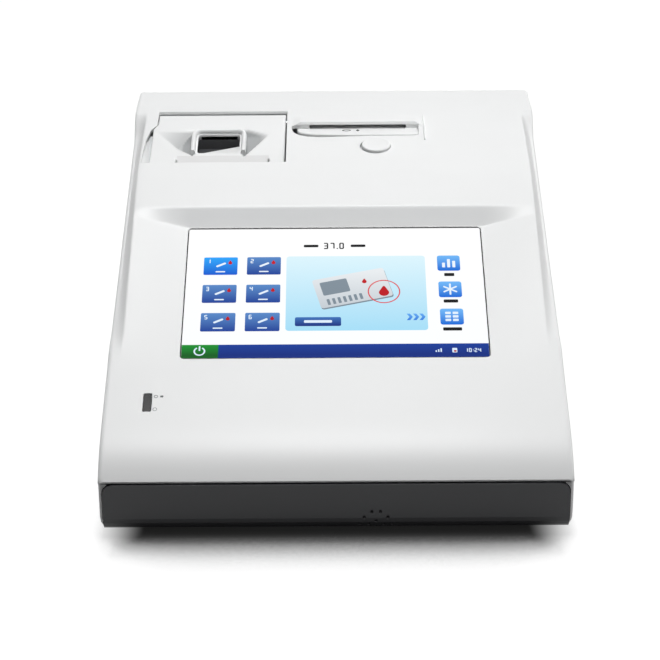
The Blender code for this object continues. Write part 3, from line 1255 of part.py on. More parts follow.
def build_card_port():
    rear_face = HOOD_FRONT_Y + HOOD_FACE_RUN
    low = LIP_TOP_Z - LIP_WALL * 2
    slot_top = LIP_TOP_Z + SLOT_HEIGHT
    well = bmesh.new()
    add_prism(well, [(LIP_FRONT_Y - GAP, low), (GUIDE_FRONT_Y, low),
                     (GUIDE_FRONT_Y, LIP_TOP_Z + GAP), (rear_face, LIP_TOP_Z + GAP),
                     (rear_face, slot_top), (LIP_FRONT_Y - GAP, slot_top)], "X",
              LIP_LEFT_X - GAP, LIP_RIGHT_X + GAP)
    cut(cover, "card_well", well)
    slot = bmesh.new()
    add_box(slot, (SLOT_LEFT_X, rear_face - OVERLAP, LIP_TOP_Z),
            (SLOT_RIGHT_X, DECK_REAR_Y, slot_top))
    cut(cover, "card_slot", slot)

    plate = bmesh.new()
    add_prism(plate, [(LIP_FRONT_Y, LIP_TOP_Z - LIP_WALL), (LIP_REAR_Y, LIP_TOP_Z - LIP_WALL),
                      (LIP_REAR_Y, LIP_TOP_Z), (LIP_FRONT_Y + LIP_CHAMFER_RUN, LIP_TOP_Z),
                      (LIP_FRONT_Y, LIP_TOP_Z - LIP_CHAMFER)], "X", LIP_LEFT_X, LIP_RIGHT_X)
    liner = make_node("card_port_liner", plate, "white_housing")
    rails = bmesh.new()
    rail_front = rear_face + WALL + OVERLAP + GAP
    for inner, outer in ((SLOT_LEFT_X, SLOT_LEFT_X - GUIDE_RAIL_WIDTH),
                         (SLOT_RIGHT_X, SLOT_RIGHT_X + GUIDE_RAIL_WIDTH)):
        add_box(rails, (min(inner, outer), rail_front, LIP_TOP_Z - OVERLAP),
                (max(inner, outer), LIP_REAR_Y, LIP_TOP_Z + GUIDE_RAIL_HEIGHT))
    fuse(liner, "card_rails", rails)

    floor = bmesh.new()
    add_box(floor, (CHEEK_LEFT_X, GUIDE_FRONT_Y, GUIDE_TOP_Z - GUIDE_WALL),
            (CHEEK_RIGHT_X, GUIDE_REAR_Y, GUIDE_TOP_Z))
    guide = make_node("card_guide", floor, "light_grey")
    sides = bmesh.new()
    front = GUIDE_FRONT_Y + GAP
    rear = GUIDE_REAR_Y - GAP
    left = CHEEK_LEFT_X + GAP
    right = CHEEK_RIGHT_X - GAP
    add_prism(sides, [(left, front), (SLOT_LEFT_X, front), (SLOT_LEFT_X, rear - GUIDE_SIDE),
                      (SLOT_RIGHT_X, rear - GUIDE_SIDE), (SLOT_RIGHT_X, front), (right, front),
                      (right, rear), (left, rear)], "Z", GUIDE_TOP_Z - OVERLAP,
              GUIDE_TOP_Z + GUIDE_RAIL_HEIGHT)
    fuse(guide, "guide_sides", sides)
    windows = bmesh.new()
    for start, end in ((HEATER_LOW, HEATER_HIGH), (CONTACT_LOW, CONTACT_HIGH)):
        add_box(windows, (start[0] - DOOR_GAP, start[1] - DOOR_GAP, GUIDE_TOP_Z - GUIDE_WALL * 2),
                (end[0] + DOOR_GAP, end[1] + DOOR_GAP, GUIDE_TOP_Z + OVERRUN))
    cut(guide, "guide_windows", windows)


def build_mechanism_frame():
    foot = CHASSIS_TOP_Z + GAP
    side = [(GUIDE_FRONT_Y, foot), (CHEEK_LOWER_REAR_Y, foot), (CHEEK_LOWER_REAR_Y, CHEEK_BEND_Z),
            (GUIDE_REAR_Y, CHEEK_BEND_Z + GUIDE_REAR_Y - CHEEK_LOWER_REAR_Y),
            (GUIDE_REAR_Y, CHEEK_TOP_Z), (GUIDE_FRONT_Y, CHEEK_TOP_Z)]
    cheeks = bmesh.new()
    add_prism(cheeks, side, "X", CHEEK_LEFT_X, CHEEK_LEFT_X + CHEEK_WALL)
    add_prism(cheeks, side, "X", CHEEK_RIGHT_X - CHEEK_WALL, CHEEK_RIGHT_X)
    frame = make_node("mechanism_frame", cheeks, "steel_sheet")
    across = (CHEEK_LEFT_X + CHEEK_WALL / 2, CHEEK_RIGHT_X - CHEEK_WALL / 2)
    shelves = bmesh.new()
    add_box(shelves, (across[0], GUIDE_FRONT_Y + GAP, SHELF_TOP_Z - CHEEK_WALL),
            (across[1], GUIDE_REAR_Y - GAP, SHELF_TOP_Z))
    add_box(shelves, (across[0], HEATER_LOW[1], BRIDGE_TOP_Z - CHEEK_WALL),
            (across[1], HEATER_HIGH[1], BRIDGE_TOP_Z))
    fuse(frame, "frame_shelves", shelves)
    flanges = bmesh.new()
    add_box(flanges, (across[0], GUIDE_FRONT_Y + GAP, foot),
            (across[0] + FOOT_FLANGE, CHEEK_LOWER_REAR_Y - GAP, foot + CHEEK_WALL))
    add_box(flanges, (across[1] - FOOT_FLANGE, GUIDE_FRONT_Y + GAP, foot),
            (across[1], CHEEK_LOWER_REAR_Y - GAP, foot + CHEEK_WALL))
    fuse(frame, "frame_flanges", flanges)
    box_node("card_heater", (*HEATER_LOW, BRIDGE_TOP_Z + GAP), (*HEATER_HIGH, GUIDE_TOP_Z),
             "aluminium")


# The cam's radius grows evenly over half a turn, so the contacts rise evenly with it
def cam_outline():
    points = []
    for i in range(CAM_SIDES):
        turned = 2 * i / CAM_SIDES
        share = turned if turned <= 1 else 2 - turned
        radius = CAM_LOW_RADIUS + (CAM_HIGH_RADIUS - CAM_LOW_RADIUS) * share
        angle = math.pi / 2 - math.pi * turned
        points.append((CAM_Y + radius * math.cos(angle), CAM_Z + radius * math.sin(angle)))
    return list(reversed(points))


def build_contact_press():
    block = bmesh.new()
    add_box(block, (*CONTACT_LOW, CONTACT_BODY_LOW_Z), (*CONTACT_HIGH, CONTACT_BODY_HIGH_Z))
    middle = [(low + high) / 2 for low, high in zip(CONTACT_LOW, CONTACT_HIGH)]
    head = make_node("contact_head", block, "dark_plastic", None, (*middle, CONTACT_BODY_LOW_Z))
    stem = bmesh.new()
    add_box(stem, (STEM_LEFT_X, CONTACT_LOW[1] + GAP, CAM_Z + CAM_LOW_RADIUS + GAP),
            (STEM_RIGHT_X, CONTACT_HIGH[1] - GAP, CONTACT_BODY_LOW_Z + OVERLAP))
    fuse(head, "contact_stem", stem)
    pins = bmesh.new()
    for row in range(PIN_ROWS):
        for i in range(PIN_COUNT):
            x = middle[0] + (i - (PIN_COUNT - 1) / 2) * PIN_PITCH - PIN_SIZE / 2
            y = middle[1] + (row - (PIN_ROWS - 1) / 2) * PIN_ROW_PITCH - PIN_SIZE / 2
            add_box(pins, (x, y, CONTACT_BODY_HIGH_Z - OVERLAP),
                    (x + PIN_SIZE, y + PIN_SIZE, PIN_TIP_Z))
    fuse(head, "contact_pins", pins)

    cam_body = bmesh.new()
    add_prism(cam_body, cam_outline(), "X", STEM_LEFT_X, STEM_RIGHT_X)
    cam = make_node("press_cam", cam_body, "gear_plastic", None, (0, CAM_Y, CAM_Z))
    shaft = bmesh.new()
    add_rod(shaft, "X", (CAM_Y, CAM_Z), STEM_LEFT_X - WORKS_SHAFT_RADIUS, PRESS_MOTOR_LEFT_X - GAP,
            WORKS_SHAFT_RADIUS, 12)
    fuse(cam, "cam_shaft", shaft)
    motor = bmesh.new()
    add_rod(motor, "X", (CAM_Y, CAM_Z), PRESS_MOTOR_LEFT_X, CHEEK_RIGHT_X - CHEEK_WALL - GAP,
            PRESS_MOTOR_RADIUS, 24)
    make_node("press_motor", motor, "steel_sheet")


def lobed_outline(middle):
    points = []
    for i in range(CAM_SIDES):
        angle = 2 * math.pi * i / CAM_SIDES
        radius = PUMP_ROTOR_RADIUS + PUMP_LOBE * math.cos(PUMP_LOBES * angle)
        points.append((middle[0] + radius * math.cos(angle), middle[1] + radius * math.sin(angle)))
    return points


def build_pump_and_valve():
    motor_low = SHELF_TOP_Z + GAP
    pump_place = (PUMP_X, WORKS_REAR_Y)
    valve_place = (VALVE_X, WORKS_REAR_Y)
    for name, place, height in (("pump_motor", pump_place, PUMP_MOTOR_HEIGHT),
                                ("valve_motor", valve_place, VALVE_MOTOR_HEIGHT)):
        body = bmesh.new()
        add_rod(body, "Z", place, motor_low, motor_low + height, PUMP_MOTOR_RADIUS, 24)
        make_node(name, body, "steel_sheet")
    rotor_body = bmesh.new()
    add_prism(rotor_body, lobed_outline(pump_place), "Z", PUMP_HEAD_LOW_Z, PUMP_HEAD_HIGH_Z)
    rotor = make_node("pump_rotor", rotor_body, "gear_plastic", None, (*pump_place, 0))
    shaft = bmesh.new()
    add_rod(shaft, "Z", pump_place, motor_low + PUMP_MOTOR_HEIGHT + GAP,
            PUMP_HEAD_LOW_Z + OVERLAP, WORKS_SHAFT_RADIUS, 12)
    fuse(rotor, "pump_shaft", shaft)
    key_body = bmesh.new()
    half_key = VALVE_KEY_LENGTH / 2
    half_width = VALVE_KEY_WIDTH / 2
    add_box(key_body, (VALVE_X - half_key, WORKS_REAR_Y - half_width, VALVE_KEY_LOW_Z),
            (VALVE_X + half_key, WORKS_REAR_Y + half_width, VALVE_KEY_HIGH_Z))
    key = make_node("valve_key", key_body, "gear_plastic", None, (*valve_place, 0))
    shaft = bmesh.new()
    add_rod(shaft, "Z", valve_place, motor_low + VALVE_MOTOR_HEIGHT + GAP,
            VALVE_KEY_LOW_Z + OVERLAP, WORKS_SHAFT_RADIUS, 12)
    fuse(key, "valve_shaft", shaft)


build_card_port()
build_mechanism_frame()
build_contact_press()
build_pump_and_valve()


# Round button on the deck in front of the card port, on a coil spring over a small board
BUTTON_INSET = 0.0182       # from the slot's right end
BUTTON_TO_LIP = 0.0123
BUTTON_X = SLOT_RIGHT_X - BUTTON_INSET
BUTTON_Y = LIP_FRONT_Y - BUTTON_TO_LIP
BUTTON_RADIUS = 0.0083
BUTTON_RISE = 0.0015
BUTTON_BEVEL = 0.0005
BUTTON_FLANGE_RADIUS = 0.0098
BUTTON_FLANGE = 0.0012
BUTTON_STEM_RADIUS = 0.0022
BUTTON_STEM_END = 0.0095
SPRING_RADIUS = 0.0038
SPRING_WIRE = 0.0005
SPRING_TURNS = 4
SPRING_STEPS = 10       # per turn
SPRING_SIDES = 6
BUTTON_BOARD_TOP = 0.0125
BUTTON_BOARD_THICKNESS = 0.0014
BUTTON_BOARD_HALF_X = 0.019
BUTTON_BOARD_HALF_Y = 0.010
BOARD_POST_RADIUS = 0.0025
BOARD_POST_INSET = 0.0035
SWITCH_HALF = 0.003
SWITCH_HEIGHT = 0.0006

deck_frame = make_frame("deck_frame", (BUTTON_X, BUTTON_Y, deck_z(BUTTON_Y)), DECK_ANGLE)


def add_coil(mesh_data, radius, wire, bottom, top):
    rows = []
    count = SPRING_TURNS * SPRING_STEPS
    for i in range(count + 1):
        turn = 2 * math.pi * i / SPRING_STEPS
        height = bottom + wire + (top - bottom - 2 * wire) * i / count
        ring = []
        for side in range(SPRING_SIDES):
            around = 2 * math.pi * side / SPRING_SIDES
            reach = radius + wire * math.cos(around)
            ring.append((reach * math.cos(turn), reach * math.sin(turn),
                         height + wire * math.sin(around)))
        rows.append(ring)
    add_loft(mesh_data, rows, True)


def build_card_button():
    hole = bmesh.new()
    add_rod(hole, "Z", (0, 0), -WALL - OVERRUN, OVERRUN, BUTTON_RADIUS + GAP, 32)
    cut(cover, "button_hole", hole, deck_frame)
    flange_top = -WALL - GAP
    cap = bmesh.new()
    add_turned(cap, "Z", (0, 0), ((BUTTON_STEM_RADIUS, -BUTTON_STEM_END),
                                  (BUTTON_STEM_RADIUS, flange_top - BUTTON_FLANGE),
                                  (BUTTON_FLANGE_RADIUS, flange_top - BUTTON_FLANGE),
                                  (BUTTON_FLANGE_RADIUS, flange_top),
                                  (BUTTON_RADIUS, flange_top),
                                  (BUTTON_RADIUS, BUTTON_RISE - BUTTON_BEVEL),
                                  (BUTTON_RADIUS - BUTTON_BEVEL, BUTTON_RISE)), 32)
    make_node("card_button", cap, "white_housing", deck_frame)
    coil = bmesh.new()
    add_coil(coil, SPRING_RADIUS, SPRING_WIRE, -BUTTON_BOARD_TOP + GAP,
             flange_top - BUTTON_FLANGE - GAP)
    make_node("button_spring", coil, "bright_steel", deck_frame)

    board_low = -BUTTON_BOARD_TOP - BUTTON_BOARD_THICKNESS
    board = bmesh.new()
    add_box(board, (-BUTTON_BOARD_HALF_X, -BUTTON_BOARD_HALF_Y, board_low),
            (BUTTON_BOARD_HALF_X, BUTTON_BOARD_HALF_Y, -BUTTON_BOARD_TOP))
    plate = make_node("button_board", board, "board_green", deck_frame)
    switch = bmesh.new()
    add_box(switch, (-SWITCH_HALF / 2, -SWITCH_HALF / 2, -BUTTON_BOARD_TOP - OVERLAP),
            (SWITCH_HALF / 2, SWITCH_HALF / 2, -BUTTON_BOARD_TOP + SWITCH_HEIGHT))
    fuse(plate, "tact_switch", switch, deck_frame)
    posts = bmesh.new()
    for side in (-1, 1):
        add_rod(posts, "Z", (side * (BUTTON_BOARD_HALF_X - BOARD_POST_INSET), 0),
                -BUTTON_BOARD_TOP + GAP, -WALL + OVERLAP, BOARD_POST_RADIUS, 12)
    fuse(cover, "button_posts", posts, deck_frame)


build_card_button()


# Status window in the slope, left of the screen
LED_INSET = 0.0226
LED_BEHIND_NOSE = 0.0143
LED_X = -HALF_WIDTH + LED_INSET
LED_Y = SLOPE_FRONT_Y + LED_BEHIND_NOSE
LED_WIDTH = 0.004
LED_LENGTH = 0.012
LED_CORNER = 0.0006
LED_SINK = 0.0002
LED_FLANGE = 0.0015
LED_FLANGE_THICKNESS = 0.001

# Reader window in the right wall, and the engine that reads barcodes through it
READER_BEHIND_DISH = 0.022
READER_RISE = 0.020
READER_Y = DISH_FRONT_Y + READER_BEHIND_DISH
READER_Z = SEAM_Z + READER_RISE
READER_LENGTH = 0.024
READER_HEIGHT = 0.012
READER_CORNER = 0.0015
READER_SINK = 0.0002
ENGINE_LENGTH = 0.026
ENGINE_HEIGHT = 0.012
ENGINE_DEPTH = 0.018
ENGINE_GAP = 0.0012
ENGINE_LENS_RADIUS = 0.0035
ENGINE_LENS_RISE = 0.0006
ENGINE_SHELF = 0.0015
ENGINE_SHELF_INSET = 0.003

# Vents in the left wall
VENT_COUNT = 7
VENT_REACH = 0.0276
VENT_RISE = 0.022
VENT_FRONT_Y = DECK_REAR_Y - VENT_REACH
VENT_PITCH = 0.006
VENT_WIDTH = 0.0022
VENT_LOW_Z = SEAM_Z + VENT_RISE
VENT_HEIGHT = 0.028

# Speaker behind the holes in the fascia
SPEAKER_HALF_LENGTH = 0.014
SPEAKER_HALF_WIDTH = 0.007
SPEAKER_ROUND_SHARE = 0.9
SPEAKER_DEPTH = 0.0124
SPEAKER_THICKNESS = 0.004
CRADLE_SPACING = 0.022
CRADLE_RIB = 0.002
CRADLE_DEPTH = 0.006
CRADLE_RISE = 0.015
CRADLE_TOP_Z = BASE_Z + CRADLE_RISE

led_frame = make_frame("led_frame", (LED_X, LED_Y, slope_z(LED_Y)), SLOPE_ANGLE)


def add_window(mesh_data, axis, middle, size, corner, flange, places):
    plug = rounded_outline(*size, corner, 4, middle)
    rim = rounded_outline(size[0] + 2 * flange, size[1] + 2 * flange, corner, 4, middle)
    inner, step, outer = places
    add_stepped(mesh_data, axis, ((rim, inner), (rim, step), (plug, step), (plug, outer)))


def build_led():
    hole = bmesh.new()
    add_plate(hole, LED_WIDTH + 2 * GAP, LED_LENGTH + 2 * GAP, LED_CORNER, OVERRUN, -WALL - OVERRUN)
    cut(cover, "led_hole", hole, led_frame)
    window = bmesh.new()
    flange_top = -WALL - GAP
    add_window(window, "Z", (0, 0), (LED_WIDTH, LED_LENGTH), LED_CORNER, LED_FLANGE,
               (flange_top - LED_FLANGE_THICKNESS, flange_top, -LED_SINK))
    make_node("led_window", window, "dark_plastic", led_frame)


def build_reader():
    middle = (READER_Y, READER_Z)
    hole = bmesh.new()
    add_prism(hole, rounded_outline(READER_LENGTH + 2 * GAP, READER_HEIGHT + 2 * GAP,
                                    READER_CORNER + GAP, 4, middle),
              "X", HALF_WIDTH - WALL - OVERRUN, HALF_WIDTH + OVERRUN)
    cut(cover, "reader_hole", hole)
    window = bmesh.new()
    step = HALF_WIDTH - WALL - GAP
    add_window(window, "X", middle, (READER_LENGTH, READER_HEIGHT), READER_CORNER, LED_FLANGE,
               (step - LED_FLANGE_THICKNESS, step, HALF_WIDTH - READER_SINK))
    make_node("reader_window", window, "scan_red")
    outer_x = step - LED_FLANGE_THICKNESS - ENGINE_GAP
    low_z = READER_Z - ENGINE_HEIGHT / 2
    engine = box_node("reader_engine",
                      (outer_x - ENGINE_DEPTH, READER_Y - ENGINE_LENGTH / 2, low_z),
                      (outer_x, READER_Y + ENGINE_LENGTH / 2, low_z + ENGINE_HEIGHT), "dark_plastic")
    lens = bmesh.new()
    add_rod(lens, "X", middle, outer_x - OVERLAP, outer_x + ENGINE_LENS_RISE, ENGINE_LENS_RADIUS, 16)
    fuse(engine, "engine_lens", lens)
    return outer_x - ENGINE_DEPTH, outer_x, low_z


def build_vents():
    slots = bmesh.new()
    for i in range(VENT_COUNT):
        y = VENT_FRONT_Y + i * VENT_PITCH
        add_box(slots, (-HALF_WIDTH - OVERRUN, y, VENT_LOW_Z),
                (-HALF_WIDTH + WALL + OVERRUN, y + VENT_WIDTH, VENT_LOW_Z + VENT_HEIGHT))
    cut(cover, "side_vents", slots)


def build_speaker():
    body = bmesh.new()
    add_plate(body, 2 * SPEAKER_HALF_LENGTH, 2 * SPEAKER_HALF_WIDTH, SPEAKER_HALF_WIDTH * SPEAKER_ROUND_SHARE,
              -SPEAKER_DEPTH, -SPEAKER_DEPTH - SPEAKER_THICKNESS)
    make_node("speaker", body, "dark_plastic", speaker_frame)
    back = SPEAKER_DEPTH + SPEAKER_THICKNESS + GAP
    low_z = BASE_Z + WALL - OVERLAP
    reach = (FRONT_Y + speaker_back) + (BASE_Z + speaker_up) + back * math.sqrt(2)
    ribs = bmesh.new()
    for side in (-1, 1):
        x = SPEAKER_X + side * CRADLE_SPACING / 2
        add_prism(ribs, [(reach - low_z, low_z), (reach - low_z + CRADLE_DEPTH, low_z),
                         (reach - CRADLE_TOP_Z + CRADLE_DEPTH, CRADLE_TOP_Z),
                         (reach - CRADLE_TOP_Z, CRADLE_TOP_Z)],
                  "X", x - CRADLE_RIB / 2, x + CRADLE_RIB / 2)
    fuse(base, "speaker_ribs", ribs)


build_led()
ENGINE_INNER_X, ENGINE_OUTER_X, ENGINE_LOW_Z = build_reader()
build_vents()
build_speaker()


# Chassis plate with the standoffs of the main board and the shelf of the reader
CHASSIS_SIDE_INSET = 0.019
CHASSIS_FRONT_INSET = 0.0375
CHASSIS_REAR_INSET = 0.0215
POST_RADIUS = 0.004
POST_SIDE_INSET = 0.027
POST_END_INSET = 0.0575
STANDOFF_RADIUS = 0.0025
STANDOFF_HEIGHT = 0.0082
STANDOFF_INSET = 0.006
MAIN_BOARD_HALF_X = 0.080
MAIN_BOARD_LENGTH = 0.125
MAIN_BOARD_REACH = 0.030    # behind the screen
BOARD_THICKNESS = 0.0016
WIRELESS_INSET = (0.010, 0.030)     # from the main board's rear left corner
WIRELESS_SIZE = (0.024, 0.018)
WIRELESS_HEIGHT = 0.003
POWER_SIZE = (0.085, 0.100)
POWER_FRONT_INSET = 0.060   # from the chassis plate's front
POWER_POST_HEIGHT = 0.0085
BATTERY_SIZE = (0.090, 0.066)
BATTERY_FRONT_INSET = 0.074
BATTERY_HEIGHT = 0.020
BAY_MARGIN = 0.0015
BAY_WALL = 0.0018
BAY_HEIGHT = 0.0165
DOOR_LEDGE = 0.0018     # of the battery door under the floor, inside the bay
SIDE_ROOM_SHARE = 8 / 21    # of the width left free, on the outer side of battery and board

CHASSIS_HALF_X = HALF_WIDTH - CHASSIS_SIDE_INSET
CHASSIS_FRONT_Y = FRONT_Y + CHASSIS_FRONT_INSET
CHASSIS_REAR_Y = REAR_Y - CHASSIS_REAR_INSET
POST_X = HALF_WIDTH - POST_SIDE_INSET
POST_Y = REAR_Y - POST_END_INSET
MAIN_BOARD_REAR_Y = SCREEN_REAR_Y + MAIN_BOARD_REACH
MAIN_BOARD_FRONT_Y = MAIN_BOARD_REAR_Y - MAIN_BOARD_LENGTH
MAIN_BOARD_Z = CHASSIS_TOP_Z + STANDOFF_HEIGHT
WIRELESS_LOW = (WIRELESS_INSET[0] - MAIN_BOARD_HALF_X, MAIN_BOARD_REAR_Y - WIRELESS_INSET[1])
WIRELESS_HIGH = (WIRELESS_LOW[0] + WIRELESS_SIZE[0], WIRELESS_LOW[1] + WIRELESS_SIZE[1])
SIDE_ROOM = (BODY_WIDTH - BATTERY_SIZE[0] - POWER_SIZE[0]) * SIDE_ROOM_SHARE
BATTERY_LOW = (-HALF_WIDTH + SIDE_ROOM, CHASSIS_FRONT_Y + BATTERY_FRONT_INSET)
BATTERY_HIGH = (BATTERY_LOW[0] + BATTERY_SIZE[0], BATTERY_LOW[1] + BATTERY_SIZE[1])
POWER_LOW = (HALF_WIDTH - SIDE_ROOM - POWER_SIZE[0], CHASSIS_FRONT_Y + POWER_FRONT_INSET)
POWER_HIGH = (POWER_LOW[0] + POWER_SIZE[0], POWER_LOW[1] + POWER_SIZE[1])
POWER_BOARD_Z = BASE_Z + WALL + POWER_POST_HEIGHT
BAY_TOP_Z = BASE_Z + WALL + BAY_HEIGHT

# Parts soldered on a board: centre from its rear left corner, size and height
MAIN_BOARD_PARTS = (((0.060, -0.060), (0.026, 0.026), 0.003),
                    ((0.102, -0.064), (0.014, 0.014), 0.0018),
                    ((0.102, -0.040), (0.010, 0.018), 0.0018),
                    ((0.140, -0.090), (0.024, 0.012), 0.006),
                    ((0.020, -0.096), (0.012, 0.020), 0.005),
                    ((0.138, -0.018), (0.020, 0.008), 0.007))
POWER_BOARD_PARTS = (((0.024, -0.076), (0.024, 0.022), 0.011),
                     ((0.060, -0.076), (0.018, 0.018), 0.009),
                     ((0.024, -0.034), (0.012, 0.030), 0.007),
                     ((0.062, -0.028), (0.020, 0.010), 0.010))


def add_parts(target, name, parts, corner, top_z):
    bodies = bmesh.new()
    for place, size, height in parts:
        x = corner[0] + place[0]
        y = corner[1] + place[1]
        add_box(bodies, (x - size[0] / 2, y - size[1] / 2, top_z - OVERLAP),
                (x + size[0] / 2, y + size[1] / 2, top_z + height))
    fuse(target, name, bodies)


def inset_corners(low, high, inset):
    return [(x, y) for x in (low[0] + inset, high[0] - inset)
            for y in (low[1] + inset, high[1] - inset)]


def build_chassis():
    posts = bmesh.new()
    for x in (-POST_X, POST_X):
        for y in (-POST_Y, POST_Y):
            add_rod(posts, "Z", (x, y), BASE_Z + WALL - OVERLAP, SEAM_Z, POST_RADIUS, 16)
    for place in inset_corners(POWER_LOW, POWER_HIGH, STANDOFF_INSET):
        add_rod(posts, "Z", place, BASE_Z + WALL - OVERLAP, POWER_BOARD_Z - GAP, STANDOFF_RADIUS, 12)
    fuse(base, "board_posts", posts)

    chassis = box_node("chassis_plate", (-CHASSIS_HALF_X, CHASSIS_FRONT_Y, SEAM_Z + GAP),
                       (CHASSIS_HALF_X, CHASSIS_REAR_Y, CHASSIS_TOP_Z), "steel_sheet")
    standoffs = bmesh.new()
    low = (-MAIN_BOARD_HALF_X, MAIN_BOARD_FRONT_Y)
    high = (MAIN_BOARD_HALF_X, MAIN_BOARD_REAR_Y)
    for place in inset_corners(low, high, STANDOFF_INSET):
        add_rod(standoffs, "Z", place, CHASSIS_TOP_Z - OVERLAP, MAIN_BOARD_Z - GAP,
                STANDOFF_RADIUS, 12)
    fuse(chassis, "standoffs", standoffs)
    shelf_top = ENGINE_LOW_Z - GAP
    inner = ENGINE_INNER_X - ENGINE_SHELF
    foot_x = CHASSIS_HALF_X - GAP
    shelf = bmesh.new()
    add_prism(shelf, [(inner, CHASSIS_TOP_Z - OVERLAP), (foot_x, CHASSIS_TOP_Z - OVERLAP),
                      (foot_x, CHASSIS_TOP_Z + ENGINE_SHELF),
                      (inner + ENGINE_SHELF, CHASSIS_TOP_Z + ENGINE_SHELF),
                      (inner + ENGINE_SHELF, shelf_top - ENGINE_SHELF),
                      (ENGINE_OUTER_X - ENGINE_SHELF_INSET, shelf_top - ENGINE_SHELF),
                      (ENGINE_OUTER_X - ENGINE_SHELF_INSET, shelf_top), (inner, shelf_top)],
              "Y", READER_Y - ENGINE_LENGTH / 2, READER_Y + ENGINE_LENGTH / 2)
    fuse(chassis, "reader_shelf", shelf)

    board_top = MAIN_BOARD_Z + BOARD_THICKNESS
    board = box_node("main_board", (*low, MAIN_BOARD_Z), (*high, board_top), "board_green")
    add_parts(board, "main_board_parts", MAIN_BOARD_PARTS, (low[0], high[1]), board_top)
    box_node("wireless_module", (*WIRELESS_LOW, board_top + GAP),
             (*WIRELESS_HIGH, board_top + GAP + WIRELESS_HEIGHT), "steel_sheet")
    power_top = POWER_BOARD_Z + BOARD_THICKNESS
    power = box_node("power_board", (*POWER_LOW, POWER_BOARD_Z), (*POWER_HIGH, power_top),
                     "board_green")
    add_parts(power, "power_board_parts", POWER_BOARD_PARTS, (POWER_LOW[0], POWER_HIGH[1]),
              power_top)


def build_battery():
    low = [value - BAY_MARGIN for value in BATTERY_LOW]
    high = [value + BAY_MARGIN for value in BATTERY_HIGH]
    size = (high[0] - low[0], high[1] - low[1])
    middle = ((low[0] + high[0]) / 2, (low[1] + high[1]) / 2)
    bay = bmesh.new()
    outer = rounded_outline(size[0] + 2 * BAY_WALL, size[1] + 2 * BAY_WALL, BAY_WALL, 2, middle)
    inner = rounded_outline(*size, BAY_WALL / 2, 2, middle)
    add_ring_prism(bay, outer, inner, "Z", BASE_Z + WALL - OVERLAP, BAY_TOP_Z)
    fuse(base, "battery_bay", bay)
    door_size = (size[0] - 2 * DOOR_LEDGE, size[1] - 2 * DOOR_LEDGE)
    opening = bmesh.new()
    add_prism(opening, rounded_outline(door_size[0] + 2 * GAP, door_size[1] + 2 * GAP,
                                       READER_CORNER + GAP, 3, middle),
              "Z", BASE_Z - OVERRUN, BASE_Z + WALL + OVERLAP)
    cut(base, "battery_opening", opening)
    door = bmesh.new()
    add_prism(door, rounded_outline(*door_size, READER_CORNER, 3, middle), "Z", BASE_Z,
              BASE_Z + WALL)
    make_node("battery_door", door, "white_housing")
    box_node("battery_pack", (*BATTERY_LOW, BASE_Z + WALL + GAP),
             (*BATTERY_HIGH, BASE_Z + WALL + GAP + BATTERY_HEIGHT), "battery_wrap")


build_chassis()
build_battery()


# Rear panel: a recessed tray in the rear wall, with the sockets on a board behind its floor
PANEL_HALF_X = 0.078
PANEL_RISE = 0.006          # over the seam
PANEL_HEIGHT = 0.038
PANEL_WALL = 0.002
PANEL_DEPTH = 0.0175        # of its floor before the rear wall's foot
PANEL_CORNER = 0.003
IO_BOARD_DEPTH = 0.017      # before the panel's floor
IO_SIDE_INSET = 0.003
SOCKET_PROUD = 0.001
PANEL_LOW_Z = SEAM_Z + PANEL_RISE
PANEL_HIGH_Z = PANEL_LOW_Z + PANEL_HEIGHT
PANEL_FLOOR_Y = REAR_Y - PANEL_DEPTH
IO_BOARD_Y = PANEL_FLOOR_Y - IO_BOARD_DEPTH
IO_HALF_X = PANEL_HALF_X - IO_SIDE_INSET
SOCKET_FACE_Y = PANEL_FLOOR_Y + SOCKET_PROUD
SOCKET_Z = (PANEL_LOW_Z + PANEL_HIGH_Z) / 2
JACK_X = 0.048
JACK_HALF = 0.0055
JACK_BORE = 0.0034
JACK_PIN = 0.001
JACK_PIN_SINK = 0.003
JACK_BORE_DEPTH = 0.010
SWITCH_X = 0.066
SWITCH_SIZE = (0.0115, 0.021)
SWITCH_POCKET = (0.0092, 0.0186)
SWITCH_POCKET_DEPTH = 0.009
ROCKER_GAP = 0.0004
ROCKER_TILT = math.radians(8)
ROCKER_FACE_RISE = 0.0012    # of the rocker's ends over its middle, half of it
ROCKER_PIVOT_DEPTH = 0.0022
ROCKER_DEPTH = 0.0045
LAN_X = 0.020
LAN_SIZE = (0.016, 0.0135)
LAN_CAVITY = (0.0118, 0.0085)
LAN_CAVITY_DEPTH = 0.011
USB_X = -0.006
USB_SIZE = (0.0148, 0.0165)
USB_CAVITY = (0.0125, 0.0053)
USB_PITCH = 0.0078
USB_CAVITY_DEPTH = 0.010
USB_TONGUE = (0.0105, 0.0017)
USB_TONGUE_SINK = 0.004
SERIAL_X = -0.050
SERIAL_FLANGE = (0.0308, 0.0125)
SERIAL_FLANGE_THICKNESS = 0.0008
SERIAL_SHELL = (0.0170, 0.0084)
SERIAL_SHELL_OUT = 0.0058
SERIAL_BODY = (0.019, 0.0105)
SERIAL_HOLE = 0.0006
SERIAL_HOLE_DEPTH = 0.004
SERIAL_PITCH = 0.00277
SERIAL_ROW = 0.0014


def upright_box(mesh_data, x, z, size, start, end):
    add_box(mesh_data, (x - size[0] / 2, start, z - size[1] / 2),
            (x + size[0] / 2, end, z + size[1] / 2))


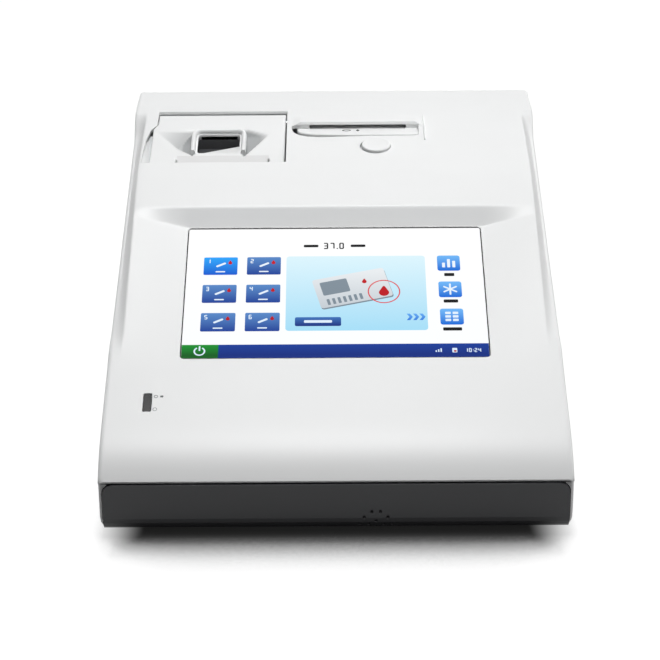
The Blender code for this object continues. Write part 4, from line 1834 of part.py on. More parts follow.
def build_rear_panel():
    low = PANEL_LOW_Z - PANEL_WALL
    high = PANEL_HIGH_Z + PANEL_WALL
    floor_back = PANEL_FLOOR_Y - PANEL_WALL
    outline = [(floor_back, low), (rear_wall_y(low), low), (rear_wall_y(high), high),
               (floor_back, high)]
    body = bmesh.new()
    add_prism(body, outline, "X", -PANEL_HALF_X - PANEL_WALL, PANEL_HALF_X + PANEL_WALL)
    panel = make_node("rear_panel", body, "light_grey")
    middle_z = (PANEL_LOW_Z + PANEL_HIGH_Z) / 2
    hollow = bmesh.new()
    add_prism(hollow, rounded_outline(2 * PANEL_HALF_X, PANEL_HIGH_Z - PANEL_LOW_Z, PANEL_CORNER, 4,
                                      (0, middle_z)), "Y", PANEL_FLOOR_Y, REAR_Y + OVERRUN)
    cut(panel, "panel_recess", hollow)
    holes = bmesh.new()
    for x, size in ((JACK_X, (2 * JACK_HALF, 2 * JACK_HALF)), (SWITCH_X, SWITCH_SIZE),
                    (LAN_X, LAN_SIZE), (USB_X, USB_SIZE), (SERIAL_X, SERIAL_BODY)):
        upright_box(holes, x, SOCKET_Z, (size[0] + 2 * GAP, size[1] + 2 * GAP),
                    floor_back - OVERRUN, PANEL_FLOOR_Y + OVERRUN)
    cut(panel, "socket_holes", holes)
    opening = bmesh.new()
    upright_box(opening, 0, middle_z, (2 * (PANEL_HALF_X + PANEL_WALL + GAP), high - low + 2 * GAP),
                PANEL_FLOOR_Y, REAR_Y + OVERRUN)
    cut(cover, "panel_opening", opening)
    box_node("io_board", (-IO_HALF_X, IO_BOARD_Y, PANEL_LOW_Z),
             (IO_HALF_X, IO_BOARD_Y + BOARD_THICKNESS, PANEL_HIGH_Z), "board_green")


def build_sockets():
    back = IO_BOARD_Y + BOARD_THICKNESS + GAP
    jack_body = bmesh.new()
    upright_box(jack_body, JACK_X, SOCKET_Z, (2 * JACK_HALF, 2 * JACK_HALF), back, SOCKET_FACE_Y)
    jack = make_node("dc_jack", jack_body, "dark_plastic")
    bore = bmesh.new()
    add_ring_prism(bore, circle_outline(JACK_BORE, 24, (JACK_X, SOCKET_Z)),
                   circle_outline(JACK_PIN, 24, (JACK_X, SOCKET_Z)), "Y",
                   SOCKET_FACE_Y - JACK_BORE_DEPTH, SOCKET_FACE_Y + OVERRUN)
    cut(jack, "jack_bore", bore)
    tip = bmesh.new()
    add_rod(tip, "Y", (JACK_X, SOCKET_Z), SOCKET_FACE_Y - JACK_PIN_SINK, SOCKET_FACE_Y + OVERRUN * 2,
            (JACK_PIN + JACK_BORE) / 2, 16)
    cut(jack, "jack_pin_tip", tip)

    switch_body = bmesh.new()
    upright_box(switch_body, SWITCH_X, SOCKET_Z, SWITCH_SIZE, back, SOCKET_FACE_Y)
    switch = make_node("power_switch", switch_body, "dark_plastic")
    pocket = bmesh.new()
    upright_box(pocket, SWITCH_X, SOCKET_Z, SWITCH_POCKET, SOCKET_FACE_Y - SWITCH_POCKET_DEPTH,
                SOCKET_FACE_Y + OVERRUN)
    cut(switch, "switch_pocket", pocket)
    pivot_y = SOCKET_FACE_Y - ROCKER_PIVOT_DEPTH
    half = SWITCH_POCKET[1] / 2 - ROCKER_GAP
    shape = []
    tip = half - ROCKER_GAP * 2
    face = ROCKER_PIVOT_DEPTH + ROCKER_FACE_RISE
    for y, z in ((-ROCKER_DEPTH, -half / 2), (-ROCKER_DEPTH, half / 2), (0, half), (face, tip),
                 (ROCKER_PIVOT_DEPTH - ROCKER_FACE_RISE, 0), (face, -tip), (0, -half)):
        turned_y = y * math.cos(ROCKER_TILT) - z * math.sin(ROCKER_TILT)
        turned_z = y * math.sin(ROCKER_TILT) + z * math.cos(ROCKER_TILT)
        shape.append((pivot_y + turned_y, SOCKET_Z + turned_z))
    rocker = bmesh.new()
    half_width = SWITCH_POCKET[0] / 2 - ROCKER_GAP
    add_prism(rocker, list(reversed(shape)), "X", SWITCH_X - half_width, SWITCH_X + half_width)
    make_node("power_rocker", rocker, "black_rubber", None, (0, pivot_y, SOCKET_Z))

    lan_body = bmesh.new()
    upright_box(lan_body, LAN_X, SOCKET_Z, LAN_SIZE, back, SOCKET_FACE_Y)
    lan = make_node("lan_port", lan_body, "steel_sheet")
    cavity = bmesh.new()
    upright_box(cavity, LAN_X, SOCKET_Z, LAN_CAVITY, SOCKET_FACE_Y - LAN_CAVITY_DEPTH,
                SOCKET_FACE_Y + OVERRUN)
    cut(lan, "lan_cavity", cavity)

    usb_body = bmesh.new()
    upright_box(usb_body, USB_X, SOCKET_Z, USB_SIZE, back, SOCKET_FACE_Y)
    usb = make_node("usb_port", usb_body, "steel_sheet")
    cavities = bmesh.new()
    tongues = bmesh.new()
    inner = SOCKET_FACE_Y - USB_CAVITY_DEPTH
    for side in (-1, 1):
        z = SOCKET_Z + side * USB_PITCH / 2
        upright_box(cavities, USB_X, z, USB_CAVITY, inner, SOCKET_FACE_Y + OVERRUN)
        upright_box(tongues, USB_X, z + USB_TONGUE[1] / 2, USB_TONGUE, inner - OVERLAP,
                    SOCKET_FACE_Y - USB_TONGUE_SINK)
    cut(usb, "usb_cavities", cavities)
    fuse(usb, "usb_tongues", tongues)

    serial_body = bmesh.new()
    upright_box(serial_body, SERIAL_X, SOCKET_Z, SERIAL_BODY, back, PANEL_FLOOR_Y + OVERLAP)
    serial = make_node("serial_port", serial_body, "steel_sheet")
    face = PANEL_FLOOR_Y + GAP
    plate = bmesh.new()
    upright_box(plate, SERIAL_X, SOCKET_Z, SERIAL_FLANGE, face, face + SERIAL_FLANGE_THICKNESS)
    fuse(serial, "serial_flange", plate)
    width, height = (value / 2 for value in SERIAL_SHELL)
    shell = [(SERIAL_X - width + SERIAL_ROW, SOCKET_Z - height),
             (SERIAL_X + width - SERIAL_ROW, SOCKET_Z - height),
             (SERIAL_X + width, SOCKET_Z + height), (SERIAL_X - width, SOCKET_Z + height)]
    nose = bmesh.new()
    add_prism(nose, shell, "Y", face + OVERLAP / 2, face + SERIAL_SHELL_OUT)
    fuse(serial, "serial_shell", nose)
    pins = bmesh.new()
    for row, count in ((1, 5), (-1, 4)):
        for i in range(count):
            place = (SERIAL_X + (i - (count - 1) / 2) * SERIAL_PITCH, SOCKET_Z + row * SERIAL_ROW)
            add_rod(pins, "Y", place, face + SERIAL_SHELL_OUT - SERIAL_HOLE_DEPTH,
                    face + SERIAL_SHELL_OUT + OVERRUN, SERIAL_HOLE, 8)
    cut(serial, "serial_holes", pins)


build_rear_panel()
build_sockets()


# Flat cable from the display to the main board, a strip that bows to either side
RIBBON_THICKNESS = 0.0005
RIBBON_END_GAP = 0.0006
DISPLAY_RIBBON_X = (-0.012, 0.012)
RIBBON_INSET = 0.01316
DISPLAY_RIBBON_Y = SCREEN_MIDDLE_Y - RIBBON_INSET
RIBBON_BOW = 0.004
RIBBON_STEPS = 12


def add_ribbon(name, path, left, right):
    strip = bmesh.new()
    outline = list(path)
    normals = []
    for i in range(len(path)):
        before = Vector(path[max(i - 1, 0)])
        after = Vector(path[min(i + 1, len(path) - 1)])
        run = (after - before).normalized()
        normals.append((-run.y * RIBBON_THICKNESS, run.x * RIBBON_THICKNESS))
    for (y, z), (shift_y, shift_z) in reversed(list(zip(path, normals))):
        outline.append((y + shift_y, z + shift_z))
    add_prism(strip, outline, "X", left, right)
    make_node(name, strip, "amber_film")


def build_ribbon():
    stack = (GLASS_SINK + GLASS_THICKNESS + GASKET_THICKNESS + LCD_THICKNESS
             + BRACKET_THICKNESS + 4 * GAP) / math.cos(SLOPE_ANGLE)
    start_y = DISPLAY_RIBBON_Y
    low_z = MAIN_BOARD_Z + BOARD_THICKNESS + RIBBON_END_GAP
    high_z = slope_z(start_y) - stack - RIBBON_END_GAP
    path = []
    for step in range(RIBBON_STEPS + 1):
        share = step / RIBBON_STEPS
        bow = RIBBON_BOW * math.sin(2 * math.pi * share)
        path.append((start_y + bow, high_z + (low_z - high_z) * share))
    add_ribbon("display_ribbon", path, *DISPLAY_RIBBON_X)


build_ribbon()

trim_cover()
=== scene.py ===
# Desk-top blood gas analyzer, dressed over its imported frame.
import json
import math
import bmesh
import bpy
from mathutils import Matrix, Vector

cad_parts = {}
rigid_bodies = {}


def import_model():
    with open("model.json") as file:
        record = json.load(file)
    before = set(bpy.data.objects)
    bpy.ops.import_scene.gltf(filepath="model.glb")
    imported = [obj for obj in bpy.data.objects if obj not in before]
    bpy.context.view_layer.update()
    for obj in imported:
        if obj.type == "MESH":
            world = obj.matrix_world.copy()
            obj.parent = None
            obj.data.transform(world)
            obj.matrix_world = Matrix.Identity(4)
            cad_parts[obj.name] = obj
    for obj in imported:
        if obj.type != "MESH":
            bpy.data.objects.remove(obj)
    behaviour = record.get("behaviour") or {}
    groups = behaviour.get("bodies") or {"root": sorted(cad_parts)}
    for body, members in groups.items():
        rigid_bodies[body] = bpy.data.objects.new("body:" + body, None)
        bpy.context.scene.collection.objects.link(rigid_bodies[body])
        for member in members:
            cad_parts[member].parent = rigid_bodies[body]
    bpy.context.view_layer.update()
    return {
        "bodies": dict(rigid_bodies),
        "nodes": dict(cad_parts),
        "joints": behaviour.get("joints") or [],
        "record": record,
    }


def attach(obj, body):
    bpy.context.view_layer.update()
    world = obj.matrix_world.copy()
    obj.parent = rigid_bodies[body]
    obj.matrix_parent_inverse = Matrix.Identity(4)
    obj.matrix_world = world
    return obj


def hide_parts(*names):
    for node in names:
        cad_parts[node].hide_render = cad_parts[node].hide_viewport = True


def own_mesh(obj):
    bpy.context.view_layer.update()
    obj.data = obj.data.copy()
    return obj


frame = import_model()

scene = bpy.context.scene
nodes = frame["nodes"]
print("frame loaded")


# ---- colours and node helpers
def toLinear(hexCode, alpha=1.0):
    channels = [int(hexCode[i:i + 2], 16) / 255 for i in (1, 3, 5)]
    linear = [c / 12.92 if c <= 0.04045 else ((c + 0.055) / 1.055) ** 2.4 for c in channels]
    return (*linear, alpha)


def addNode(tree, kind, settings=None, inputs=None, links=None):
    node = tree.nodes.new(kind)
    for key, value in (settings or {}).items():
        setattr(node, key, value)
    for key, value in (inputs or {}).items():
        node.inputs[key].default_value = value
    for key, source in (links or {}).items():
        tree.links.new(source, node.inputs[key])
    return node


def newMaterial(name):
    material = bpy.data.materials.new(name)
    material.use_nodes = True
    tree = material.node_tree
    return material, tree, tree.nodes["Principled BSDF"]


def objectPlace(tree):
    return addNode(tree, "ShaderNodeTexCoord").outputs["Object"]


def mixTwo(tree, factor, first, second, socket):
    tint = addNode(tree, "ShaderNodeMix", {"data_type": "RGBA"}, links={"Factor": factor})
    tint.inputs["A"].default_value = toLinear(first)
    tint.inputs["B"].default_value = toLinear(second)
    tree.links.new(tint.outputs["Result"], socket)
    return tint


def noiseAt(tree, place, scale, detail=2.0):
    return addNode(tree, "ShaderNodeTexNoise", inputs={"Scale": scale, "Detail": detail},
                   links={"Vector": place}).outputs["Fac"]


def rangeInto(tree, source, low, high, socket):
    spread = addNode(tree, "ShaderNodeMapRange", inputs={"To Min": low, "To Max": high},
                     links={"Value": source})
    tree.links.new(spread.outputs["Result"], socket)


def bumpInto(tree, shader, height, depth, strength, edge=0.0):
    bump = addNode(tree, "ShaderNodeBump", inputs={"Strength": strength, "Distance": depth},
                   links={"Height": height})
    if edge:        # a rounded arris on the moulding's cut edges
        arris = addNode(tree, "ShaderNodeBevel", {"samples": 4}, {"Radius": edge})
        tree.links.new(arris.outputs["Normal"], bump.inputs["Normal"])
    tree.links.new(bump.outputs["Normal"], shader.inputs["Normal"])


# Moulded plastic, spark-eroded tool: a fine even grain that spreads the highlight, and a faint
# cloud in the colour as on any large moulding
def mouldedPlastic(name, colour, darker, roughness, grainSize, grainDepth, edge=0.0):
    material, tree, shader = newMaterial(name)
    place = objectPlace(tree)
    grain = noiseAt(tree, place, 1 / grainSize)
    mixTwo(tree, noiseAt(tree, place, 14.0), darker, colour, shader.inputs["Base Color"])
    rangeInto(tree, grain, roughness - 0.03, roughness + 0.03, shader.inputs["Roughness"])
    bumpInto(tree, shader, grain, grainDepth, 0.25, edge)
    return material


# Sheet and turned metal: fine lines along one axis that draw the highlight out
def brushedMetal(name, colour, darker, roughness, lineWidth, along):
    material, tree, shader = newMaterial(name)
    stretch = [1 / lineWidth] * 3
    stretch["XYZ".index(along)] = 1 / (lineWidth * 60)
    turned = addNode(tree, "ShaderNodeMapping", inputs={"Scale": stretch},
                     links={"Vector": objectPlace(tree)}).outputs["Vector"]
    lines = noiseAt(tree, turned, 1.0, 3.0)
    mixTwo(tree, lines, darker, colour, shader.inputs["Base Color"])
    rangeInto(tree, lines, roughness - 0.06, roughness + 0.08, shader.inputs["Roughness"])
    bumpInto(tree, shader, lines, lineWidth * 0.1, 0.2)
    shader.inputs["Metallic"].default_value = 1.0
    return material


# Solder mask over copper: darker and lighter green lanes, and small bright pads
def circuitBoard(name, mask, lane, pad):
    material, tree, shader = newMaterial(name)
    place = objectPlace(tree)
    lanes = addNode(tree, "ShaderNodeTexBrick", {"offset": 0.37}, {"Scale": 1.0, "Mortar Size": 0.0004,
                    "Brick Width": 0.0090, "Row Height": 0.0016, "Mortar Smooth": 0.1},
                    {"Vector": place})
    lanes.inputs["Color1"].default_value = toLinear(mask)
    lanes.inputs["Color2"].default_value = toLinear(mask)
    lanes.inputs["Mortar"].default_value = toLinear(lane)
    dots = addNode(tree, "ShaderNodeTexVoronoi", inputs={"Scale": 260.0}, links={"Vector": place})
    spot = addNode(tree, "ShaderNodeMapRange", inputs={"From Min": 0.16, "From Max": 0.12},
                   links={"Value": dots.outputs["Distance"]})
    tint = addNode(tree, "ShaderNodeMix", {"data_type": "RGBA"},
                   links={"Factor": spot.outputs["Result"], "A": lanes.outputs["Color"]})
    tint.inputs["B"].default_value = toLinear(pad)
    tree.links.new(tint.outputs["Result"], shader.inputs["Base Color"])
    rangeInto(tree, spot.outputs["Result"], 0.35, 0.25, shader.inputs["Roughness"])
    bumpInto(tree, shader, lanes.outputs["Fac"], 0.00004, 0.4)
    return material


# Stripes or layers across one axis: flat cable, laminated card, wound paper
def stripedSheet(name, colour, line, pitch, along, roughness):
    material, tree, shader = newMaterial(name)
    place = objectPlace(tree)
    part = addNode(tree, "ShaderNodeSeparateXYZ", links={"Vector": place}).outputs[along]
    turns = addNode(tree, "ShaderNodeMath", {"operation": "MULTIPLY"}, {1: 2 * math.pi / pitch},
                    {0: part}).outputs[0]
    wave = addNode(tree, "ShaderNodeMath", {"operation": "SINE"}, links={0: turns}).outputs[0]
    share = addNode(tree, "ShaderNodeMapRange", inputs={"From Min": -0.6, "From Max": 0.6},
                    links={"Value": wave}).outputs["Result"]
    mixTwo(tree, share, line, colour, shader.inputs["Base Color"])
    rangeInto(tree, share, roughness + 0.08, roughness, shader.inputs["Roughness"])
    bumpInto(tree, shader, share, 0.00003, 0.3)
    return material


# Wound thermal paper: rings about the roll's axis on its ends, a plain sheet outside
def woundPaper(name, colour, gapTone, axisY, axisZ, pitch):
    material, tree, shader = newMaterial(name)
    centred = addNode(tree, "ShaderNodeMapping", inputs={"Location": (0, -axisY, -axisZ),
                      "Scale": (0, 1, 1)}, links={"Vector": objectPlace(tree)}).outputs["Vector"]
    reach = addNode(tree, "ShaderNodeVectorMath", {"operation": "LENGTH"},
                    links={0: centred}).outputs["Value"]
    wobble = noiseAt(tree, centred, 60.0, 1.0)
    turns = addNode(tree, "ShaderNodeMath", {"operation": "MULTIPLY_ADD"},
                    {1: 2 * math.pi / pitch}, {0: reach, 2: wobble}).outputs[0]
    wave = addNode(tree, "ShaderNodeMath", {"operation": "SINE"}, links={0: turns}).outputs[0]
    share = addNode(tree, "ShaderNodeMapRange", inputs={"From Min": -1.0, "From Max": -0.2},
                    links={"Value": wave}).outputs["Result"]
    mixTwo(tree, share, gapTone, colour, shader.inputs["Base Color"])
    fibre = noiseAt(tree, objectPlace(tree), 2500.0)
    rangeInto(tree, fibre, 0.60, 0.75, shader.inputs["Roughness"])
    bumpInto(tree, shader, fibre, 0.00002, 0.3)
    return material


# A lit patch of the display: its own light with a tone that falls down the screen, under the
# gloss of the front glass
def litPatch(name, upper, lower, fromZ, toZ, strength=1.0):
    material, tree, shader = newMaterial(name)
    height = addNode(tree, "ShaderNodeSeparateXYZ",
                     links={"Vector": objectPlace(tree)}).outputs["Z"]
    share = addNode(tree, "ShaderNodeMapRange", inputs={"From Min": fromZ, "From Max": toZ},
                    links={"Value": height}).outputs["Result"]
    mixTwo(tree, share, upper, lower, shader.inputs["Emission Color"])
    shader.inputs["Base Color"].default_value = toLinear("#050505")
    shader.inputs["Emission Strength"].default_value = strength
    shader.inputs["Specular IOR Level"].default_value = 0.12
    rangeInto(tree, noiseAt(tree, objectPlace(tree), 900.0), 0.10, 0.16, shader.inputs["Roughness"])
    return material


whiteFinish = ("#F3F4F4", "#EFF0F0", 0.42, 0.0006, 0.00003, 0.0005)
housingWhite = mouldedPlastic("whiteHousingAbs", *whiteFinish)
fasciaGrey = mouldedPlastic("charcoalFasciaAbs", "#26272A", "#222326", 0.42, 0.0005, 0.00003, 0.0006)
frameGrey = mouldedPlastic("lightGreyFramePlastic", "#D6D8D9", "#CCCFD0", 0.5, 0.0008, 0.00004, 0.0003)
socketBlack = mouldedPlastic("connectorBlackPbt", "#242527", "#1C1D1E", 0.5, 0.0004, 0.00003, 0.0002)
padRubber = mouldedPlastic("footRubber", "#242425", "#1A1A1B", 0.82, 0.0005, 0.00008)
acetalCream = mouldedPlastic("gearAcetal", "#E8E3D2", "#DDD7C4", 0.38, 0.0005, 0.00002)
cellSleeve = mouldedPlastic("batterySleevePvc", "#2F568C", "#27466F", 0.45, 0.0020, 0.00010)
sensorRed = mouldedPlastic("readerRedAcrylic", "#55090D", "#3A0507", 0.08, 0.0100, 0.00001)
smokedLens = mouldedPlastic("smokedIndicatorLens", "#0F0F11", "#0B0B0D", 0.22, 0.0100, 0.00001)
sheetSteel = brushedMetal("zincedSheetSteel", "#C3C6C8", "#AEB2B5", 0.34, 0.0003, "X")
turnedSteel = brushedMetal("turnedSteel", "#D0D2D3", "#B9BCBE", 0.22, 0.0002, "X")
castAluminium = brushedMetal("brushedAluminium", "#CDD0D2", "#B8BBBE", 0.38, 0.0003, "X")
gearBrass = brushedMetal("gearBrass", "#C9A961", "#B18F48", 0.28, 0.0002, "X")
greenBoard = circuitBoard("greenCircuitBoard", "#1E5E3A", "#2C7A4E", "#CDBB83")
flatCable = stripedSheet("amberFlatCable", "#C07B34", "#8F5420", 0.0010, "X", 0.35)
rollPaper = woundPaper("woundThermalPaper", "#F6F5F1", "#D5D3CB", 0.084, 0.108136, 0.00045)

finishes = {
    housingWhite: ("base_tray", "battery_door"),
    frameGrey: ("printer_frame", "card_guide", "mechanism_frame", "rear_panel", "paper_core",
                "contact_head", "pump_rotor", "valve_key", "press_cam"),
    socketBlack: ("dc_jack", "power_switch", "power_rocker", "speaker", "reader_engine", "lcd_module"),
    padRubber: ("platen_roller", "screen_gasket"),
    acetalCream: ("platen_gear", "idler_gear"),
    cellSleeve: ("battery_pack",),
    sensorRed: ("reader_window",),
    smokedLens: ("led_window",),
    sheetSteel: ("chassis_plate", "display_bracket", "lan_port", "usb_port", "serial_port",
                 "printer_motor", "press_motor", "pump_motor", "valve_motor", "wireless_module"),
    turnedSteel: ("door_hinge_pin",),
    castAluminium: ("print_head", "card_heater"),
    gearBrass: ("motor_pinion",),
    greenBoard: ("main_board", "power_board", "io_board", "button_board"),
    flatCable: ("display_ribbon",),
    rollPaper: ("paper_roll",),
}
for material, names in finishes.items():
    for name in names:
        nodes[name].data.materials.clear()
        nodes[name].data.materials.append(material)
print("finishes set on the frame's own pieces")


# ---- mesh helpers
def newPiece(name, meshData, material, body="housing", smooth=30):
    bmesh.ops.recalc_face_normals(meshData, faces=meshData.faces)
    mesh = bpy.data.meshes.new(name)
    meshData.to_mesh(mesh)
    meshData.free()
    piece = bpy.data.objects.new(name, mesh)
    scene.collection.objects.link(piece)
    if material:
        mesh.materials.append(material)
    mesh.shade_smooth()
    mesh.set_sharp_from_angle(angle=math.radians(smooth))
    if body:
        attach(piece, body)
    return piece


def settle(piece):          # modifiers become plain mesh
    ready = piece.evaluated_get(bpy.context.evaluated_depsgraph_get())
    mesh = bpy.data.meshes.new_from_object(ready)
    piece.modifiers.clear()
    old = piece.data
    piece.data = mesh
    bpy.data.meshes.remove(old)
    mesh.name = piece.name


def dropPiece(piece):
    mesh = piece.data
    bpy.data.objects.remove(piece)
    bpy.data.meshes.remove(mesh)


def cutFrom(piece, cutters):
    for cutter in cutters:
        modifier = piece.modifiers.new(cutter.name, "BOOLEAN")
        modifier.operation = "DIFFERENCE"
        modifier.object = cutter
        modifier.solver = "MANIFOLD"
    settle(piece)
    for cutter in cutters:
        dropPiece(cutter)
    piece.data.shade_smooth()
    piece.data.set_sharp_from_angle(angle=math.radians(30))


def addStack(meshData, rings):      # closed body from rings with equal counts
    rows = [[meshData.verts.new(p) for p in ring] for ring in rings]
    meshData.faces.new(rows[0])
    meshData.faces.new(rows[-1])
    for low, high in zip(rows, rows[1:]):
        for i in range(len(low)):
            j = (i + 1) % len(low)
            meshData.faces.new((low[i], low[j], high[j], high[i]))


def placed(axis, a, b, along):
    return {"X": (along, a, b), "Y": (a, along, b), "Z": (a, b, along)}[axis]


def addPrism(meshData, outline, axis, start, end):
    addStack(meshData, [[placed(axis, a, b, along) for a, b in outline] for along in (start, end)])


def roundedBox(width, depth, radius, middle=(0, 0), steps=6):
    points = []
    for corner, (sx, sy) in enumerate(((1, 1), (-1, 1), (-1, -1), (1, -1))):
        for step in range(steps + 1):
            turn = math.pi / 2 * (corner + step / steps)
            points.append((middle[0] + sx * (width / 2 - radius) + radius * math.cos(turn),
                           middle[1] + sy * (depth / 2 - radius) + radius * math.sin(turn)))
    return points


def circle(radius, middle=(0, 0), sides=32):
    turns = [2 * math.pi * i / sides for i in range(sides)]
    return [(middle[0] + radius * math.cos(t), middle[1] + radius * math.sin(t)) for t in turns]


def inFrame(meshData, place, tilt):     # lays what was drawn flat on a tilted plane
    matrix = Matrix.Translation(place) @ Matrix.Rotation(tilt, 4, "X")
    bmesh.ops.transform(meshData, matrix=matrix, verts=meshData.verts)


# ---- cover: one moulded skin over the whole top, drawn row by row and given its wall
coverSizes = {"halfWidth": 0.119, "railInset": 0.007, "windowHalf": 0.0814, "wall": 0.0018,
              "edgeRound": 0.0022, "dishRound": 0.002, "railRound": 0.001, "flankPower": 2.2,
              "seamZ": 0.030, "frontY": -0.1565, "lipZ": 0.0312, "noseY": -0.1457, "noseTopY": -0.1285, "noseHold": 0.78,
              "bandEndY": 0.136, "topZ": 0.153, "rearEdge": (0.0075, 0.0055), "rearY": 0.1575,
              "deckRearY": 0.1116, "rearCorner": 0.005, "noseCorner": 0.0012,
              "hoodX": (-0.0244, 0.0525), "hoodRamp": 0.0045, "hoodFrontY": 0.0838,
              "hoodZ": 0.148496, "hoodRound": 0.0008}
# height along the middle, and along the rails beside the dish: y, z, half length of the rounding
middleLine = ((-0.1313, 0.05047, 0), (0.0, 0.11114, 0.0003), (0.0055, 0.121934, 0.0008),
              (0.030, 0.133307, 0.0035), (0.0493, 0.138514, 0.0025), (0.1116, 0.151303, 0.0015),
              (0.136, 0.153, 0))
railLine = ((-0.1313, 0.05047, 0), (-0.0940, 0.067706, 0.004), (0.0055, 0.121934, 0.0012),
            (0.030, 0.133307, 0.0035), (0.0493, 0.138514, 0.0025), (0.1116, 0.151303, 0.0015),
            (0.136, 0.153, 0))
flankLine = {"front": (-0.088, -0.066), "rear": (0.090, 0.104), "frontZ": 0.0775, "rearZ": 0.1361}


def lineAt(points, y):
    for before, corner, after in zip(points, points[1:], points[2:]):
        reach = corner[2]
        if abs(y - corner[0]) < reach:
            rise = (corner[1] - before[1]) / (corner[0] - before[0])
            fall = (after[1] - corner[1]) / (after[0] - corner[0])
            past = y - corner[0]
            return corner[1] + rise * past + (fall - rise) * (past + reach) ** 2 / (4 * reach)
    for low, high in zip(points, points[1:]):
        if y <= high[0] or high is points[-1]:
            return low[1] + (high[1] - low[1]) * (y - low[0]) / (high[0] - low[0])


def softRamp(past, reach):      # 0 before a bend, 1:1 after it
    if past <= -reach:
        return 0.0
    return past if past >= reach else (past + reach) ** 2 / (4 * reach)


def softStep(value):
    value = min(max(value, 0.0), 1.0)
    return value * value * (3 - 2 * value)


def flankShare(y):      # how much of the hollow flank there is
    front, rear = flankLine["front"], flankLine["rear"]
    return min(softStep((y - front[0]) / (front[1] - front[0])),
               softStep((rear[1] - y) / (rear[1] - rear[0])))


def skirtAt(y, rail):
    span = flankLine["rear"][0] - flankLine["front"][1]
    low = flankLine["frontZ"] + (flankLine["rearZ"] - flankLine["frontZ"]) * (
        y - flankLine["front"][1]) / span
    return rail - flankShare(y) * max(rail - low, 0)


def halfAt(y):
    half = coverSizes["halfWidth"]
    rearTop = coverSizes["bandEndY"] + coverSizes["rearEdge"][0]
    for into, radius in ((y - coverSizes["frontY"], coverSizes["noseCorner"]),
                         (rearTop - y, coverSizes["rearCorner"])):
        if into < radius:
            left = radius - max(into, 0)
            half -= radius - math.sqrt(radius ** 2 - left ** 2)
    return half


def hoodLift(x, y, z):
    left, right = coverSizes["hoodX"]
    ramp, soft = coverSizes["hoodRamp"], coverSizes["hoodRound"]
    into = min(x - left, right - x)
    share = (softRamp(into, soft) - softRamp(into - ramp, soft)) / ramp
    face = softRamp(y - coverSizes["hoodFrontY"] + 0.0006, 0.0003) / 0.0009
    return share * min(max(face, 0), 1) * max(coverSizes["hoodZ"] - z, 0)


hoodXs = [-0.0256, -0.0252, -0.0248, -0.0244, -0.0240, -0.0236, -0.0222, -0.0207, -0.0203, -0.0199,
          -0.0195, -0.0191, 0.0472, 0.0476, 0.0480, 0.0484, 0.0488, 0.0502, 0.0517, 0.0521, 0.0525,
          0.0529, 0.0533]
sideXs = [0.0794, 0.0799, 0.0804, 0.0809, 0.0814]
centreXs = sorted(hoodXs + sideXs + [-x for x in sideXs] + [0.006 * i for i in range(-12, 13)
                  if not any(abs(0.006 * i - x) < 0.0016 for x in hoodXs)])
wallShares = [0.02, 0.04, 0.065, 0.10, 0.16, 0.25, 0.36, 0.5, 0.64, 0.78, 0.90]
flankShares = [0.11, 0.15, 0.21, 0.28, 0.36, 0.45, 0.56, 0.6857]
sideShares = [0.03, 0.1, 0.22, 0.36, 0.52, 0.68, 0.84, 1.0]


def bend(a, b, c, share):
    return tuple((1 - share) ** 2 * p + 2 * share * (1 - share) * q + share ** 2 * r
                 for p, q, r in zip(a, b, c))


def coverRow(y, flatZ=None):
    sizes = coverSizes
    half = halfAt(y)
    middle = lineAt(middleLine, y) if flatZ is None else flatZ
    rail = lineAt(railLine, y) if flatZ is None else flatZ
    skirt = skirtAt(y, rail) if flatZ is None else flatZ
    side, railX = sizes["windowHalf"], half - sizes["railInset"]
    rise = (rail - middle) / (railX - side)
    insideZ = lambda x: middle + rise * softRamp(x - side, sizes["dishRound"])
    outsideZ = lambda s: skirt + (rail - skirt) * (1 - s) ** sizes["flankPower"]
    outer = []
    reach = railX - sizes["railRound"] - side
    for share in wallShares:
        outer.append((side + reach * share, insideZ(side + reach * share)))
    inner = (railX - sizes["railRound"], insideZ(railX - sizes["railRound"]))
    past = 0.07
    lower = (railX + sizes["railInset"] * past, outsideZ(past))
    for share in (0, 0.2, 0.4, 0.6, 0.8, 1):
        outer.append(bend(inner, (railX, rail), lower, share))
    for share in flankShares:
        outer.append((railX + sizes["railInset"] * share, outsideZ(share)))
    last = outer[-1]
    edge = skirt - sizes["edgeRound"]
    for share in (0.2, 0.4, 0.6, 0.8, 1):
        outer.append(bend(last, (half, max(skirt, last[1] - 0.0004)), (half, edge), share))
    footY = y
    if y > sizes["deckRearY"]:
        rearTop = sizes["bandEndY"] + sizes["rearEdge"][0]
        footY = y + (sizes["rearY"] - rearTop) * (y - sizes["deckRearY"]) / (
            rearTop - sizes["deckRearY"])
    row = [(x, y, max(z, sizes["seamZ"])) for x, z in outer]
    top = max(edge, sizes["seamZ"])
    for share in sideShares:
        row.append((half, y + (footY - y) * share, top + (sizes["seamZ"] - top) * share))
    centre = []
    for x in centreXs:
        z = middle + rise * softRamp(abs(x) - side, sizes["dishRound"])
        centre.append((x, y, max(z + (hoodLift(x, y, z) if flatZ is None else 0),
                                 sizes["seamZ"])))
    return [(-x, yy, z) for x, yy, z in reversed(row)] + centre + row


